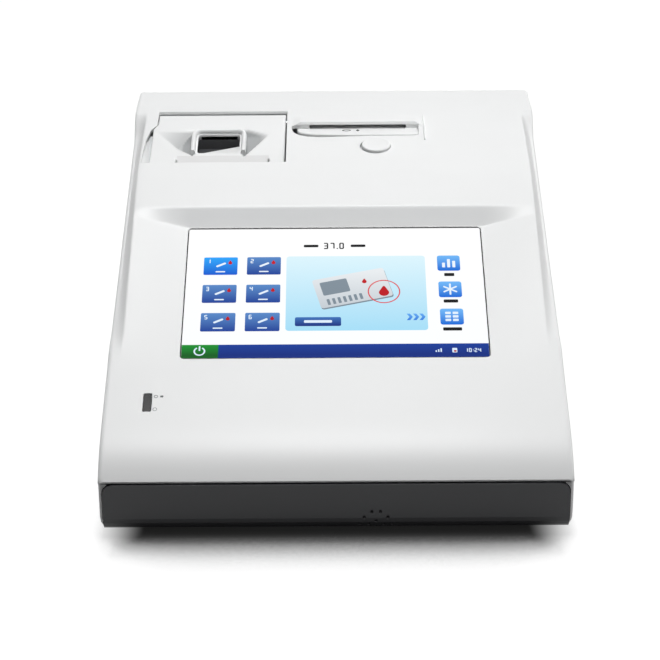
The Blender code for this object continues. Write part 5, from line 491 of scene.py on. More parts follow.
def coverRows():
    sizes = coverSizes
    rows = []
    foot, top = (sizes["frontY"], sizes["lipZ"]), (sizes["noseTopY"], lineAt(middleLine, sizes["noseTopY"]))
    corner = (sizes["noseY"], lineAt(middleLine, sizes["noseY"]))
    hold = sizes["noseHold"]        # how far each straight runs towards the bend
    low, high = [tuple(e + hold * (c - e) for e, c in zip(end, corner)) for end in (foot, top)]
    rows.append(coverRow(sizes["frontY"], sizes["lipZ"] - 0.0008))
    for i in range(25):
        share = i / 24
        y, z = [(1 - share) ** 3 * a + 3 * share * (1 - share) ** 2 * b + 3 * share ** 2 * (1 - share) * c
                + share ** 3 * d for a, b, c, d in zip(foot, low, high, top)]
        rows.append(coverRow(y + (0.000001 if i == 0 else 0), z))
    ys = [-0.124, -0.116, -0.108, -0.102, -0.0985, -0.0965, -0.0945, -0.0925, -0.0905, -0.088, -0.086,
          -0.0845, -0.0835, -0.0825, -0.0815, -0.0805, -0.0795, -0.0785, -0.0775, -0.0765, -0.0755,
          -0.074, -0.070, -0.062, -0.052, -0.042, -0.032, -0.022, -0.013, -0.007, -0.003, -0.001,
          -0.0004, 0.0, 0.0004, 0.0012, 0.0024, 0.0036, 0.0044, 0.0048, 0.0052, 0.0056, 0.006, 0.0064,
          0.0068, 0.0078, 0.010, 0.014, 0.019, 0.024, 0.0262, 0.0276, 0.029, 0.030, 0.031, 0.0324,
          0.0338, 0.037, 0.041, 0.0450, 0.0466, 0.0478, 0.0488, 0.0498, 0.0508, 0.0520, 0.054, 0.058,
          0.064, 0.070, 0.076, 0.080, 0.0824, 0.0829, 0.0832, 0.0835, 0.0838, 0.0841, 0.0844, 0.085,
          0.088, 0.0905, 0.0925, 0.0945, 0.0965, 0.0985, 0.1005, 0.1025, 0.104, 0.106, 0.1085, 0.1102,
          0.1110, 0.1118, 0.1126, 0.1135, 0.117, 0.122, 0.128, 0.133]
    rows += [coverRow(y) for y in ys]
    for turn in range(0, 91, 9):
        angle = math.radians(turn)
        rows.append(coverRow(sizes["bandEndY"] + sizes["rearEdge"][0] * math.sin(angle),
                             sizes["topZ"] - sizes["rearEdge"][1] * (1 - math.cos(angle))))
    count = len(sideShares)
    last = rows[-1]
    for share in sideShares:        # the rear wall leans out on its way down
        row = []
        for x, y, z in last[count:-count]:
            row.append((x, y + (sizes["rearY"] - y) * share, z + (sizes["seamZ"] - z) * share))
        rows.append([None] * count + row + [None] * count)
    return rows


def buildCover():
    meshData = bmesh.new()
    grid = [[p and meshData.verts.new(p) for p in row] for row in coverRows()]
    for near, far in zip(grid, grid[1:]):
        for i in range(len(near) - 1):
            corners = (near[i], near[i + 1], far[i + 1], far[i])
            if all(corners):
                meshData.faces.new(corners)
    bmesh.ops.remove_doubles(meshData, verts=meshData.verts, dist=0.00002)
    bmesh.ops.dissolve_degenerate(meshData, dist=0.00001, edges=meshData.edges)
    loose = [v for v in meshData.verts if not v.link_faces]
    bmesh.ops.delete(meshData, geom=loose, context="VERTS")
    cover = newPiece("coverSkin", meshData, housingWhite, None)
    if cover.data.polygons[len(cover.data.polygons) // 2].normal.z < 0:
        cover.data.flip_normals()
    wall = cover.modifiers.new("wall", "SOLIDIFY")
    wall.thickness = coverSizes["wall"]
    wall.offset = -1
    settle(cover)
    return cover


screenMiddle, slopeAngle = (0, -0.044844, 0.090418), math.radians(24.8)
openingSizes = {"screen": (0.1628, 0.0988, 0.0024), "button": ((0.0244, 0.0600, 0.14071), 0.0090, (-0.0004, -0.0003)),
                "led": ((-0.0964, -0.1170), (0.0046, 0.0126, 0.0009)),
                "reader": ((-0.072, 0.050), (0.0246, 0.0126, 0.0018)),
                "vents": {"y": 0.084, "z": 0.052, "width": 0.0022, "height": 0.028, "pitch": 0.006,
                          "count": 7},
                "panel": ((0, 0.055), (0.1606, 0.0426))}
# the well that the card lip lies in: its front edge in plan, from the curled left end
wellEdge = ((-0.0248, 0.0835), (-0.0246, 0.0800), (-0.0234, 0.0765), (-0.0205, 0.0737),
            (-0.0160, 0.0718), (-0.0100, 0.0711), (-0.0020, 0.0711), (0.0090, 0.0717),
            (0.0200, 0.07215), (0.0462, 0.07222), (0.0485, 0.07275), (0.0496, 0.0742),
            (0.0499, 0.0835))


def openingCutters():
    sizes = openingSizes
    cutters = []
    first = bmesh.new()
    addPrism(first, roundedBox(*sizes["screen"]), "Z", -0.006, 0.004)
    inFrame(first, screenMiddle, slopeAngle)
    shape = [(-0.1109, 0.0424), (-0.0277, 0.0424), (-0.0277, 0.1037), (-0.1044, 0.1037),
             (-0.1044, 0.0866), (-0.1076, 0.0812), (-0.1096, 0.0700)]
    addPrism(first, shape, "Z", 0.104, 0.157)
    pad = bmesh.new()
    addPrism(pad, circle(sizes["button"][1], sizes["button"][2], 48), "Z", -0.008, 0.004)
    inFrame(pad, sizes["button"][0], math.radians(11.6))
    lens = bmesh.new()
    middle, size = sizes["led"]
    addPrism(lens, roundedBox(*size), "Z", -0.006, 0.004)
    inFrame(lens, (middle[0], middle[1], 0.11114 + middle[1] * math.tan(slopeAngle)), slopeAngle)
    reader = bmesh.new()
    middle, size = sizes["reader"]
    addPrism(reader, roundedBox(*size, middle), "X", 0.113, 0.123)
    vents = bmesh.new()
    slots = sizes["vents"]
    for i in range(slots["count"]):
        y = slots["y"] + i * slots["pitch"] + slots["width"] / 2
        z = slots["z"] + slots["height"] / 2
        addPrism(vents, roundedBox(slots["width"], slots["height"], 0.0009, (y, z)), "X", -0.123, -0.112)
    panel = bmesh.new()
    middle, size = sizes["panel"]
    addPrism(panel, roundedBox(*size, 0.003, middle), "Y", 0.139, 0.162)
    well = bmesh.new()
    outline = list(wellEdge) + [(0.0499, 0.0842), (-0.0248, 0.0842)]
    addPrism(well, outline, "Z", 0.1385, 0.14674)
    slot = bmesh.new()
    addPrism(slot, roundedBox(0.0571, 0.0025, 0.0009, (0.01405, 0.145485)), "Y", 0.0830, 0.1100)
    for name, meshData in (("openScreen", first), ("openButton", pad), ("openLens", lens),
                           ("openReader", reader), ("openVents", vents), ("openPanel", panel),
                           ("openWell", well), ("openSlot", slot)):
        cutters.append(newPiece(name, meshData, None, None))
    return cutters


cover = buildCover()
cutFrom(cover, openingCutters())
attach(cover, "housing")
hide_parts("top_cover")
print("cover skin", len(cover.data.polygons), "faces")


# ---- printer lid: hollowed beside its finger arch, hinged at the rear, with the platen's arms
lidSizes = {"left": -0.1062, "right": -0.0285, "frontY": 0.0436, "creaseY": 0.080, "frontZ": 0.134543,
            "creaseZ": 0.145715, "hinge": (0.0985, 0.144019), "hingeRadius": 0.0045, "wall": 0.003,
            "jog": 0.0023, "jogRun": 0.006, "corner": 0.0007, "creaseRound": 0.0012,
            "pocket": (-0.0793, -0.0549, 0.0555, 0.0742), "hollow": 0.0040, "thinning": 0.0016, "clearZ": 0.1337, "clearFromY": 0.049,
            "sideEdge": (0.0026, 0.0010), "slitX": (-0.0908, -0.0378), "slitY": 0.0500,
            "slitWidth": 0.0005, "tongue": (0.0535, 0.0022), "tongueWall": 0.0016,
            "arms": (-0.0911, -0.0389), "armWidth": 0.0014, "platen": (0.055, 0.128342)}
archSizes = {"legX": (-0.0817, -0.0525), "frontY": 0.0548, "rearY": 0.0785, "turn": 0.0042,
             "width": 0.0050, "height": 0.0030}
hollowShapes = (((-0.0830, 0.0772), (-0.0912, 0.0606), (-0.0830, 0.0540), 1.0),
                ((-0.0512, 0.0795), (-0.0375, 0.0745), (-0.0500, 0.0550), 1.0),
                ((-0.0830, 0.0797), (-0.1058, 0.0780), (-0.0912, 0.0600), 0.34))


def lidZ(y):
    sizes = lidSizes
    facet = (sizes["creaseZ"] - sizes["frontZ"]) / (sizes["creaseY"] - sizes["frontY"])
    top = (sizes["hinge"][1] + sizes["hingeRadius"] - sizes["creaseZ"]) / (
        sizes["hinge"][0] - sizes["creaseY"])
    past = y - sizes["creaseY"]
    return sizes["creaseZ"] + facet * past + (top - facet) * softRamp(past, sizes["creaseRound"])


def hollowDepth(x, y):      # two wedges that deepen from their outer tip towards the arch's legs
    depth = 0.0
    for near, tip, low, part in hollowShapes:
        ax, ay = near
        bx, by = tip
        cx, cy = low
        area = (bx - ax) * (cy - ay) - (cx - ax) * (by - ay)
        toTip = ((x - ax) * (cy - ay) - (cx - ax) * (y - ay)) / area
        toLow = ((bx - ax) * (y - ay) - (x - ax) * (by - ay)) / area
        toNear = 1 - toTip - toLow
        inside = min(toNear, toLow)
        if inside > 0 and toTip < 1:
            edge = softStep(min(toNear, toLow) * 12)
            depth = max(depth, part * edge * (1 - max(toTip, 0)) * max(0, 1 + 4 * min(toTip, 0)))
    return depth * lidSizes["hollow"]


# The housing's plastic, drawn greyer where it dips beside the arch: this stands in for the shade that
# the photograph shows in the two hollows, which the lamps here do not give
def hollowWhite():
    material = mouldedPlastic("shadedWhiteAbs", *whiteFinish)
    tree = material.node_tree
    shader = tree.nodes["Principled BSDF"]
    plain = shader.inputs["Base Color"].links[0].from_socket
    dip = addNode(tree, "ShaderNodeAttribute", {"attribute_name": "hollow"})
    share = addNode(tree, "ShaderNodeMapRange", inputs={"From Max": 0.45},
                    links={"Value": dip.outputs["Fac"]})
    tint = addNode(tree, "ShaderNodeMix", {"data_type": "RGBA"},
                   links={"Factor": share.outputs["Result"], "A": plain})
    tint.inputs["B"].default_value = toLinear("#A9ABAC")
    tree.links.new(tint.outputs["Result"], shader.inputs["Base Color"])
    return material


def tongueDrop(x, y):       # the tear edge between the two slits falls away to the front
    start, depth = lidSizes["tongue"]
    if lidSizes["slitX"][0] < x < lidSizes["slitX"][1] and y < start:
        return depth * (start - y) / (start - lidSizes["frontY"])
    return 0.0


def sweepTree():        # a rounded strip along a path
    tree = bpy.data.node_groups.new("sweepStrip", "GeometryNodeTree")
    face = tree.interface
    face.new_socket("Path", in_out="INPUT", socket_type="NodeSocketGeometry")
    for label in ("Width", "Height"):
        face.new_socket(label, in_out="INPUT", socket_type="NodeSocketFloat")
    face.new_socket("Finish", in_out="INPUT", socket_type="NodeSocketMaterial")
    face.new_socket("Strip", in_out="OUTPUT", socket_type="NodeSocketGeometry")
    start = addNode(tree, "NodeGroupInput")
    path = addNode(tree, "GeometryNodeMeshToCurve", links={"Mesh": start.outputs["Path"]})
    upright = addNode(tree, "GeometryNodeSetCurveNormal", {"mode": "FREE"},
                      {"Normal": (0, -0.2934, 0.956)}, {"Curve": path.outputs["Curve"]})
    ring = addNode(tree, "GeometryNodeCurvePrimitiveCircle", inputs={"Resolution": 20, "Radius": 0.5})
    size = addNode(tree, "ShaderNodeCombineXYZ", links={"X": start.outputs["Width"],
                                                        "Y": start.outputs["Height"]})
    oval = addNode(tree, "GeometryNodeTransform", links={"Geometry": ring.outputs["Curve"],
                                                         "Scale": size.outputs["Vector"]})
    swept = addNode(tree, "GeometryNodeCurveToMesh", inputs={"Fill Caps": True},
                    links={"Curve": upright.outputs["Curve"],
                           "Profile Curve": oval.outputs["Geometry"]})
    whole = addNode(tree, "GeometryNodeRealizeInstances", links={"Geometry": swept.outputs["Mesh"]})
    done = addNode(tree, "GeometryNodeSetMaterial", links={"Geometry": whole.outputs["Geometry"],
                                                           "Material": start.outputs["Finish"]})
    addNode(tree, "NodeGroupOutput", links={"Strip": done.outputs["Geometry"]})
    return tree


def growPiece(name, meshData, tree, values, body, smooth=30):
    mesh = bpy.data.meshes.new(name)
    meshData.to_mesh(mesh)
    meshData.free()
    piece = bpy.data.objects.new(name, mesh)
    scene.collection.objects.link(piece)
    grown = piece.modifiers.new("grown", "NODES")
    grown.node_group = tree
    for item in tree.interface.items_tree:
        if item.item_type == "SOCKET" and item.in_out == "INPUT" and item.name in values:
            grown[item.identifier] = values[item.name]
    settle(piece)
    piece.data.shade_smooth()
    piece.data.set_sharp_from_angle(angle=math.radians(smooth))
    if body:
        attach(piece, body)
    return piece


# Grey a shade below the housing on the tear edge between the slits: painted shade for that sloping facet. Dark grey
# on the works under the lid: painted shade that keeps the finger pocket dark
tearEdgeShadeGrey = mouldedPlastic("tearEdgeGreyPlastic", "#D9DBDC", "#D0D2D3", 0.5, 0.0006, 0.00003)
pocketShadeDark = mouldedPlastic("lidTubDarkPlastic", "#3B3C3E", "#343537", 0.6, 0.0006, 0.00003)


def buildLid():
    sizes = lidSizes
    left, right, frontY, rearY = sizes["left"], sizes["right"], sizes["frontY"], 0.10298
    corner = sizes["corner"]
    xs = [0, 0.12, 0.3, 0.55, 0.8, 1.0]
    inset = [corner * (1 - math.cos(math.pi / 2 * s)) for s in xs]
    ys = [frontY + corner * (1 - math.cos(math.pi / 2 * s)) for s in xs]
    ys += [frontY + corner + i * 0.0011 for i in range(1, 32)]
    ys += [0.0794, 0.0800, 0.0806, 0.0814, 0.0826, 0.0842, 0.0860, 0.088, 0.0925, 0.0965]
    meshData = bmesh.new()
    rows = []
    span = 72
    for y in ys:
        drop = corner - math.sqrt(max(corner ** 2 - max(corner - (y - frontY), 0) ** 2, 0))
        shift = sizes["jog"] * min(max((y - sizes["creaseY"]) / sizes["jogRun"], 0), 1)
        row = []
        start, end = left + shift, right
        points = [start + inset[i] for i in range(len(xs))]
        points += [start + corner + (end - start - 2 * corner) * i / span for i in range(1, span)]
        points += [end - inset[i] for i in reversed(range(len(xs)))]
        for x in points:
            side = min(x - start, end - x)
            sink = corner - math.sqrt(max(corner ** 2 - max(corner - side, 0) ** 2, 0))
            edgeShare = max(1 - (end - x) / sizes["sideEdge"][0], 0)
            sink += sizes["sideEdge"][1] * edgeShare ** 2
            sink += tongueDrop(x, y)
            row.append((x, y, lidZ(y) - max(drop, sink) - hollowDepth(x, y)))
        rows.append(row)
    hingeY, hingeZ = sizes["hinge"]
    for i in range(13):     # round the hinge's barrel and back under the plate
        turn = math.pi / 2 - math.pi * i / 12
        rows.append([(x, hingeY + sizes["hingeRadius"] * math.cos(turn),
                      hingeZ + sizes["hingeRadius"] * math.sin(turn)) for x, _, _ in rows[len(ys) - 1]])
    wall = sizes["wall"]
    for y in (0.088, 0.081, 0.079, 0.076, 0.072, 0.068, 0.064, 0.060, 0.056, 0.052, 0.048,
              frontY + 0.0009):
        base = min(lidZ(y) - wall / math.cos(0.29), sizes["creaseZ"] - wall)
        lift = wall - sizes["tongueWall"]
        clear = sizes["clearZ"] if y > sizes["clearFromY"] else 0     # over the platen and print head
        rows.append([(x, y, max(base - max(hollowDepth(x, y) - sizes["thinning"], 0) - tongueDrop(x, y)
                                + (lift if tongueDrop(x, y) else 0), clear))
                     for x, _, _ in (rows[0] if y < 0.08 else rows[len(ys) - 1])])
    grid = [[meshData.verts.new(p) for p in row] for row in rows]
    for near, far in zip(grid, grid[1:] + grid[:1]):
        for i in range(len(near) - 1):
            meshData.faces.new((near[i], near[i + 1], far[i + 1], far[i]))
    for column in (0, -1):
        meshData.faces.new([row[column] for row in grid])
    lid = newPiece("printerLid", meshData, housingWhite, None)
    tub = bmesh.new()
    x0, x1, y0, y1 = sizes["pocket"]
    addPrism(tub, roundedBox(x1 - x0, y1 - y0, 0.0018, ((x0 + x1) / 2, (y0 + y1) / 2)), "Z",
             0.120, 0.150)
    slits = bmesh.new()
    for x, foot in zip(sizes["slitX"], (0.0026, 0.0006)):
        addPrism(slits, [(x - sizes["slitWidth"], frontY - 0.002), (x + foot, frontY - 0.002),
                         (x + foot, frontY + 0.0006), (x + sizes["slitWidth"], sizes["slitY"] - 0.002),
                         (x + sizes["slitWidth"], sizes["slitY"]), (x - sizes["slitWidth"], sizes["slitY"])],
                 "Z", 0.126, 0.142)
    notch = bmesh.new()
    addPrism(notch, [(sizes["slitX"][0], frontY - 0.002), (sizes["slitX"][1], frontY - 0.002),
                     (sizes["slitX"][1], frontY + 0.0009), (sizes["slitX"][0], frontY + 0.0009)], "Z",
             0.126, 0.142)
    pin = bmesh.new()
    addPrism(pin, circle(0.0013, sizes["hinge"], 20), "X", left - 0.01, right + 0.01)
    cutFrom(lid, [newPiece("lidPocket", tub, None, None), newPiece("lidSlits", slits, None, None),
                  newPiece("lidNotch", notch, None, None), newPiece("lidPin", pin, None, None)])
    lid.data.materials[0] = hollowWhite()
    lid.data.materials.append(tearEdgeShadeGrey)
    dips = lid.data.attributes.new("hollow", "FLOAT", "POINT")
    for vertex, dip in zip(lid.data.vertices, dips.data):
        x, y, z = vertex.co
        dip.value = hollowDepth(x, y) / sizes["hollow"] if z > lidZ(y) - sizes["hollow"] - 0.0008 else 0
    # the tear edge's top faces between the slits take the grey of painted shade
    for face in lid.data.polygons:
        x, y, _ = face.center
        if sizes["slitX"][0] < x < sizes["slitX"][1] and y < sizes["tongue"][0] and face.normal.z > 0:
            face.material_index = 1
    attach(lid, "printer_door")

    inner = bmesh.new()
    low = 0.1339
    outline = roundedBox(x1 - x0 + 0.0024, y1 - y0 + 0.0024, 0.0028, ((x0 + x1) / 2, (y0 + y1) / 2))
    hollow = roundedBox(x1 - x0, y1 - y0, 0.0018, ((x0 + x1) / 2, (y0 + y1) / 2))
    loops = []
    for ring, level, slope in ((outline, low, 0), (outline, -0.0012, 1), (hollow, -0.0012, 1),
                               (hollow, low + 0.0012, 0)):
        loops.append([inner.verts.new((x, y, lidZ(y) + level if slope else level)) for x, y in ring])
    for near, far in zip(loops, loops[1:]):
        for i in range(len(near)):
            j = (i + 1) % len(near)
            inner.faces.new((near[i], near[j], far[j], far[i]))
    inner.faces.new(loops[0])
    inner.faces.new(loops[-1])
    platenY, platenZ = sizes["platen"]
    for middle in sizes["arms"]:
        ring = []
        for i in range(17):
            turn = math.pi + math.pi * i / 16
            ring.append((platenY + 0.003 * math.cos(turn), platenZ + 0.003 * math.sin(turn)))
        ring += [(platenY + 0.003, lidZ(platenY) - 0.0018), (platenY - 0.003, lidZ(platenY - 0.006) - 0.0018)]
        addPrism(inner, ring, "X", middle, middle + sizes["armWidth"])
    # the works under the lid and the platen's arms are dark grey, painted shade that keeps the finger pocket dark
    works = newPiece("lidTub", inner, pocketShadeDark, None)
    bores = bmesh.new()
    addPrism(bores, circle(0.0018, sizes["platen"], 20), "X", -0.095, -0.030)
    cutFrom(works, [newPiece("armBores", bores, None, None)])
    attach(works, "printer_door")

    shelf = bmesh.new()     # the lit corner of the finger pocket's floor
    addPrism(shelf, [(x0 + 0.0004, y0 + 0.0002), (x1 - 0.0002, y0 + 0.0002), (x1 - 0.0002, y0 + 0.0150),
                     (x1 - 0.0010, y0 + 0.0152)], "Z", low + 0.0010, low + 0.0036)
    newPiece("lidShelf", shelf, housingWhite, "printer_door")

    arch = bmesh.new()
    path = []
    legs, turn = archSizes["legX"], archSizes["turn"]
    half = archSizes["width"] / 2
    ends = (legs[0], legs[1])
    path.append((ends[0], archSizes["frontY"]))
    path.append((ends[0], (archSizes["frontY"] + archSizes["rearY"]) / 2))
    for side, centre in ((0, (ends[0] + turn, archSizes["rearY"] - half - turn)),
                         (1, (ends[1] - turn, archSizes["rearY"] - half - turn))):
        for i in range(9):
            angle = (math.pi - math.pi / 2 * i / 8) if side == 0 else (math.pi / 2 - math.pi / 2 * i / 8)
            path.append((centre[0] + turn * math.cos(angle), centre[1] + turn * math.sin(angle)))
    path.append((ends[1], (archSizes["frontY"] + archSizes["rearY"]) / 2))
    path.append((ends[1], archSizes["frontY"]))
    points = [arch.verts.new((x, y, lidZ(y) + archSizes["height"] / 2 - 0.0012)) for x, y in path]
    for a, b in zip(points, points[1:]):
        arch.edges.new((a, b))
    growPiece("fingerArch", arch, sweepTree(), {"Width": archSizes["width"],
              "Height": archSizes["height"], "Finish": housingWhite}, "printer_door")
    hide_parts("printer_door")
    return lid


buildLid()
# the hollow beside the lid's left edge, where a finger gets hold of it
gripSizes = {"outline": ((-0.1108, 0.0424), (-0.1067, 0.0424), (-0.1067, 0.0812), (-0.1076, 0.0806),
                         (-0.1096, 0.0700)), "fall": 0.0056, "outerX": -0.1110, "depth": 0.012}


def buildGrip():
    meshData = bmesh.new()
    rings = ([], [])
    for x, y in gripSizes["outline"]:
        top = lineAt(railLine, y) - 0.0003 - gripSizes["fall"] * min((x - gripSizes["outerX"]) / 0.0043, 1)
        rings[0].append((x, y, top - gripSizes["depth"]))
        rings[1].append((x, y, top))
    addStack(meshData, rings)
    newPiece("lidGrip", meshData, housingWhite)


buildGrip()
print("printer lid")

# ---- card port: lip with its curled left end, two rails, and the two small marks on it
lipSizes = {"topZ": 0.144235, "wall": 0.003, "rearY": 0.096, "edge": 0.0009, "gap": 0.0006,
            "slotX": (-0.0145, 0.0426), "railWidth": 0.0025, "railHeight": 0.0012}
lipEdge = ((-0.0217, 0.0832), (-0.0214, 0.0808), (-0.0206, 0.0783), (-0.0188, 0.0762),
           (-0.0160, 0.0746), (-0.0120, 0.0736), (-0.0060, 0.0730), (0.0010, 0.0727),
           (0.0090, 0.0725), (0.0200, 0.0724), (0.0460, 0.0724), (0.0482, 0.0729),
           (0.0494, 0.0742), (0.0497, 0.0760))


def insetPath(path, step):      # the same outline, a step nearer its inside
    moved = []
    for i, (x, y) in enumerate(path):
        a, b = path[max(i - 1, 0)], path[min(i + 1, len(path) - 1)]
        run = Vector((b[0] - a[0], b[1] - a[1])).normalized()
        moved.append((x - run.y * step, y + run.x * step))
    return moved


def buildLip():
    sizes = lipSizes
    meshData = bmesh.new()
    rings = []
    edge = sizes["edge"]
    for share in (0, 1):
        rings.append((lipEdge, -sizes["wall"] if share == 0 else -edge))
    for i in range(1, 6):
        turn = math.pi / 2 * i / 5
        rings.append((insetPath(lipEdge, edge * (1 - math.cos(turn))), -edge * (1 - math.sin(turn))))
    full = []
    for path, level in rings:
        full.append([(x, y, sizes["topZ"] + level) for x, y in
                     [(path[0][0], sizes["rearY"])] + list(path) + [(path[-1][0], sizes["rearY"])]])
    addStack(meshData, full)
    for start, end in ((sizes["slotX"][0] - sizes["railWidth"], sizes["slotX"][0]),
                       (sizes["slotX"][1], sizes["slotX"][1] + sizes["railWidth"])):
        top = sizes["topZ"]
        addPrism(meshData, [(0.0873, top - 0.0006), (0.096, top - 0.0006),
                            (0.096, top + sizes["railHeight"]), (0.0881, top + sizes["railHeight"]),
                            (0.0873, top + 0.0004)], "X", start, end)
    lip = newPiece("cardLip", meshData, housingWhite)
    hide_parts("card_port_liner")


def addBand(meshData, outer, inner, low, high):
    loops = [[meshData.verts.new((x, y, z)) for x, y in ring]
             for ring, z in ((outer, low), (outer, high), (inner, high), (inner, low))]
    for near, far in zip(loops, loops[1:] + loops[:1]):
        for i in range(len(near)):
            j = (i + 1) % len(near)
            meshData.faces.new((near[i], near[j], far[j], far[i]))


markInk = mouldedPlastic("printedMarkInk", "#4A4C4F", "#3E4043", 0.5, 0.0004, 0.00001)
paleInk = mouldedPlastic("paleMarkInk", "#A9ABAD", "#9C9EA0", 0.5, 0.0004, 0.00001)


def buildMarks():
    marks = bmesh.new()
    top = lipSizes["topZ"]
    oval = lambda a, b: [(0.0074 + a * math.cos(t), 0.0802 + b * math.sin(t)) for t in
                         [2 * math.pi * i / 28 for i in range(28)]]
    addBand(marks, oval(0.0026, 0.0017), oval(0.0017, 0.0009), top - 0.0001, top + 0.00005)
    addPrism(marks, [(0.0129, 0.0802), (0.0140, 0.0780), (0.0151, 0.0802), (0.0140, 0.0824)], "Z",
             top - 0.0001, top + 0.00005)
    newPiece("lipMarks", marks, markInk)


ridgeSizes = {"x": 0.0530, "from": 0.0668, "to": 0.0962, "width": 0.0020, "height": 0.0010}


def buildRidge():       # the low bright rib that closes the hood's right end
    path = bmesh.new()
    count = 9
    points = []
    for i in range(count):
        y = ridgeSizes["from"] + (ridgeSizes["to"] - ridgeSizes["from"]) * i / (count - 1)
        points.append(path.verts.new((ridgeSizes["x"], y, lineAt(middleLine, y))))
    for a, b in zip(points, points[1:]):
        path.edges.new((a, b))
    growPiece("hoodRib", path, sweepTree(), {"Width": ridgeSizes["width"], "Height": ridgeSizes["height"],
              "Finish": housingWhite}, "housing")


buildLip()
buildMarks()
buildRidge()
print("card port")

# ---- card button: a thick pad with a soft edge and a faint dish, its stem and flange under it
padSizes = {"radius": 0.0083, "rise": 0.0015, "edge": 0.0007, "dish": 0.0003, "flange": 0.0098}


def buildButton():
    meshData = bmesh.new()
    radius, rise, edge = padSizes["radius"], padSizes["rise"], padSizes["edge"]
    profile = [(0.0022, -0.0095), (0.0022, -0.0040), (padSizes["flange"], -0.0040),
               (padSizes["flange"], -0.0028), (radius, -0.0028), (radius, rise - edge)]
    for i in range(1, 7):
        turn = math.pi / 2 * i / 6
        profile.append((radius - edge * (1 - math.cos(turn)), rise - edge * (1 - math.sin(turn))))
    for share in (0.8, 0.6, 0.4, 0.2, 0.05):
        profile.append((radius * share, rise - padSizes["dish"] * (1 - share ** 2)))
    addStack(meshData, [[(r * math.cos(t), r * math.sin(t), z) for t in
                         [2 * math.pi * i / 56 for i in range(56)]] for r, z in profile])
    inFrame(meshData, openingSizes["button"][0], math.radians(11.6))
    pad = newPiece("cardPad", meshData, housingWhite, "card_button")
    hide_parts("card_button")


# the pad's return spring: round steel wire, drawn at one length
springSizes = {"radius": 0.0038, "wire": 0.0005, "turns": 4, "steps": 28, "low": -0.0122,
               "high": -0.0043, "travel": 0.002}


def buildSpring():
    path = bmesh.new()
    sizes = springSizes
    count = sizes["turns"] * sizes["steps"]
    length = sizes["high"] - sizes["low"]
    for i in range(count + 1):
        turn = 2 * math.pi * i / sizes["steps"]
        path.verts.new((sizes["radius"] * math.cos(turn), sizes["radius"] * math.sin(turn),
                        sizes["low"] + sizes["wire"] + (length - 2 * sizes["wire"]) * i / count))
    path.verts.ensure_lookup_table()
    for i in range(count):
        path.edges.new((path.verts[i], path.verts[i + 1]))
    place, tilt = openingSizes["button"][0], math.radians(11.6)
    inFrame(path, place, tilt)
    spring = growPiece("returnSpring", path, sweepTree(), {"Width": 2 * sizes["wire"],
                       "Height": 2 * sizes["wire"], "Finish": turnedSteel}, "housing", 60)
    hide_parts("button_spring")
    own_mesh(spring)


buildButton()
buildSpring()
print("card button")


# ---- display: a lit page under the front glass, all of it plain shapes and numbers
pageSizes = {"width": 0.1616, "height": 0.0976, "corner": 0.0012, "top": -0.00034, "step": 0.00003}
pageTones = {"paper": ("#FFFFFF", "#FBFDFF"), "ink": ("#0C0D10", "#0C0D10"),
             "firstTile": ("#2AA8FF", "#0A5CD2"), "tile": ("#5A8CCB", "#1B4299"),
             "panel": ("#DDF5FD", "#A6DEF7"), "button": ("#3E74BE", "#0F2F82"),
             "icon": ("#74BCFB", "#0F6BD8"), "bar": ("#0F3C9A", "#0A2C80"),
             "start": ("#12952F", "#0A5E1C"), "glyph": ("#F4FAFF", "#DCEEFF"), "blood": ("#D01420", "#A80C18"),
             "card": ("#E9EDF0", "#C3CBD2"), "cardShade": ("#8A98A4", "#76848F"),
             "ring": ("#E25A5F", "#DA464C")}


def pagePoint(u, v):
    return ((u - 0.5) * 0.162, (0.5 - v) * 0.098)


def pageLevel(v):      # height in the room of a line of the page
    return screenMiddle[2] + pagePoint(0, v)[1] * math.sin(slopeAngle)


def pageBox(u0, u1, v0, v1, radius=0.0006):
    (x0, y1), (x1, y0) = pagePoint(u0, v0), pagePoint(u1, v1)
    return roundedBox(x1 - x0, y1 - y0, radius, ((x0 + x1) / 2, (y0 + y1) / 2), 3)


def pagePlate(name, tone, layer, outlines, span=(0, 1), bands=()):
    meshData = bmesh.new()
    high = pageSizes["top"] + layer * pageSizes["step"]
    for outline in outlines:
        addPrism(meshData, outline, "Z", high - pageSizes["step"] * 0.9, high)
    for outer, inner in bands:
        addBand(meshData, outer, inner, high - pageSizes["step"] * 0.9, high)
    inFrame(meshData, screenMiddle, slopeAngle)
    upper, lower = pageTones[tone]
    glow = litPatch(name + "Light", upper, lower, pageLevel(span[0]), pageLevel(span[1]))
    return newPiece(name, meshData, glow)


def turned(outline, middle, angle):
    c, s = math.cos(angle), math.sin(angle)
    return [(middle[0] + c * x - s * y, middle[1] + s * x + c * y) for x, y in outline]


segmentBoxes = {"a": (0.5, 1, 0.78, 0.19), "b": (0.86, 0.75, 0.3, 0.47), "c": (0.86, 0.25, 0.3, 0.47),
                "d": (0.5, 0, 0.78, 0.19), "e": (0.14, 0.25, 0.3, 0.47), "f": (0.14, 0.75, 0.3, 0.47),
                "g": (0.5, 0.5, 0.6, 0.17)}
digitSegments = {"0": "abcdef", "1": "bc", "2": "abged", "3": "abgcd", "4": "fgbc", "5": "afgcd",
                 "6": "afgedc", "7": "abc", "8": "abcdefg", "9": "abcdfg"}


def digitOutlines(text, centre, height):      # numbers drawn as short bars
    outlines, wide = [], height * 0.56
    widths = [wide * (1.38 if sign in digitSegments else 0.62) for sign in text]
    x = centre[0] - sum(widths) / 2
    for sign, advance in zip(text, widths):
        y = centre[1] - height / 2
        if sign in digitSegments:
            for key in digitSegments[sign]:
                cx, cy, w, h = segmentBoxes[key]
                outlines.append(roundedBox(w * wide, h * height * 0.92, 0.04 * height,
                                           (x + cx * wide, y + height * (0.05 + 0.9 * cy)), 2))
        elif sign == ".":
            outlines.append(circle(height * 0.09, (x + wide * 0.2, y + height * 0.06), 10))
        elif sign == ":":
            outlines += [circle(height * 0.08, (x + wide * 0.2, y + height * k), 10) for k in (0.28, 0.7)]
        x += advance
    return outlines


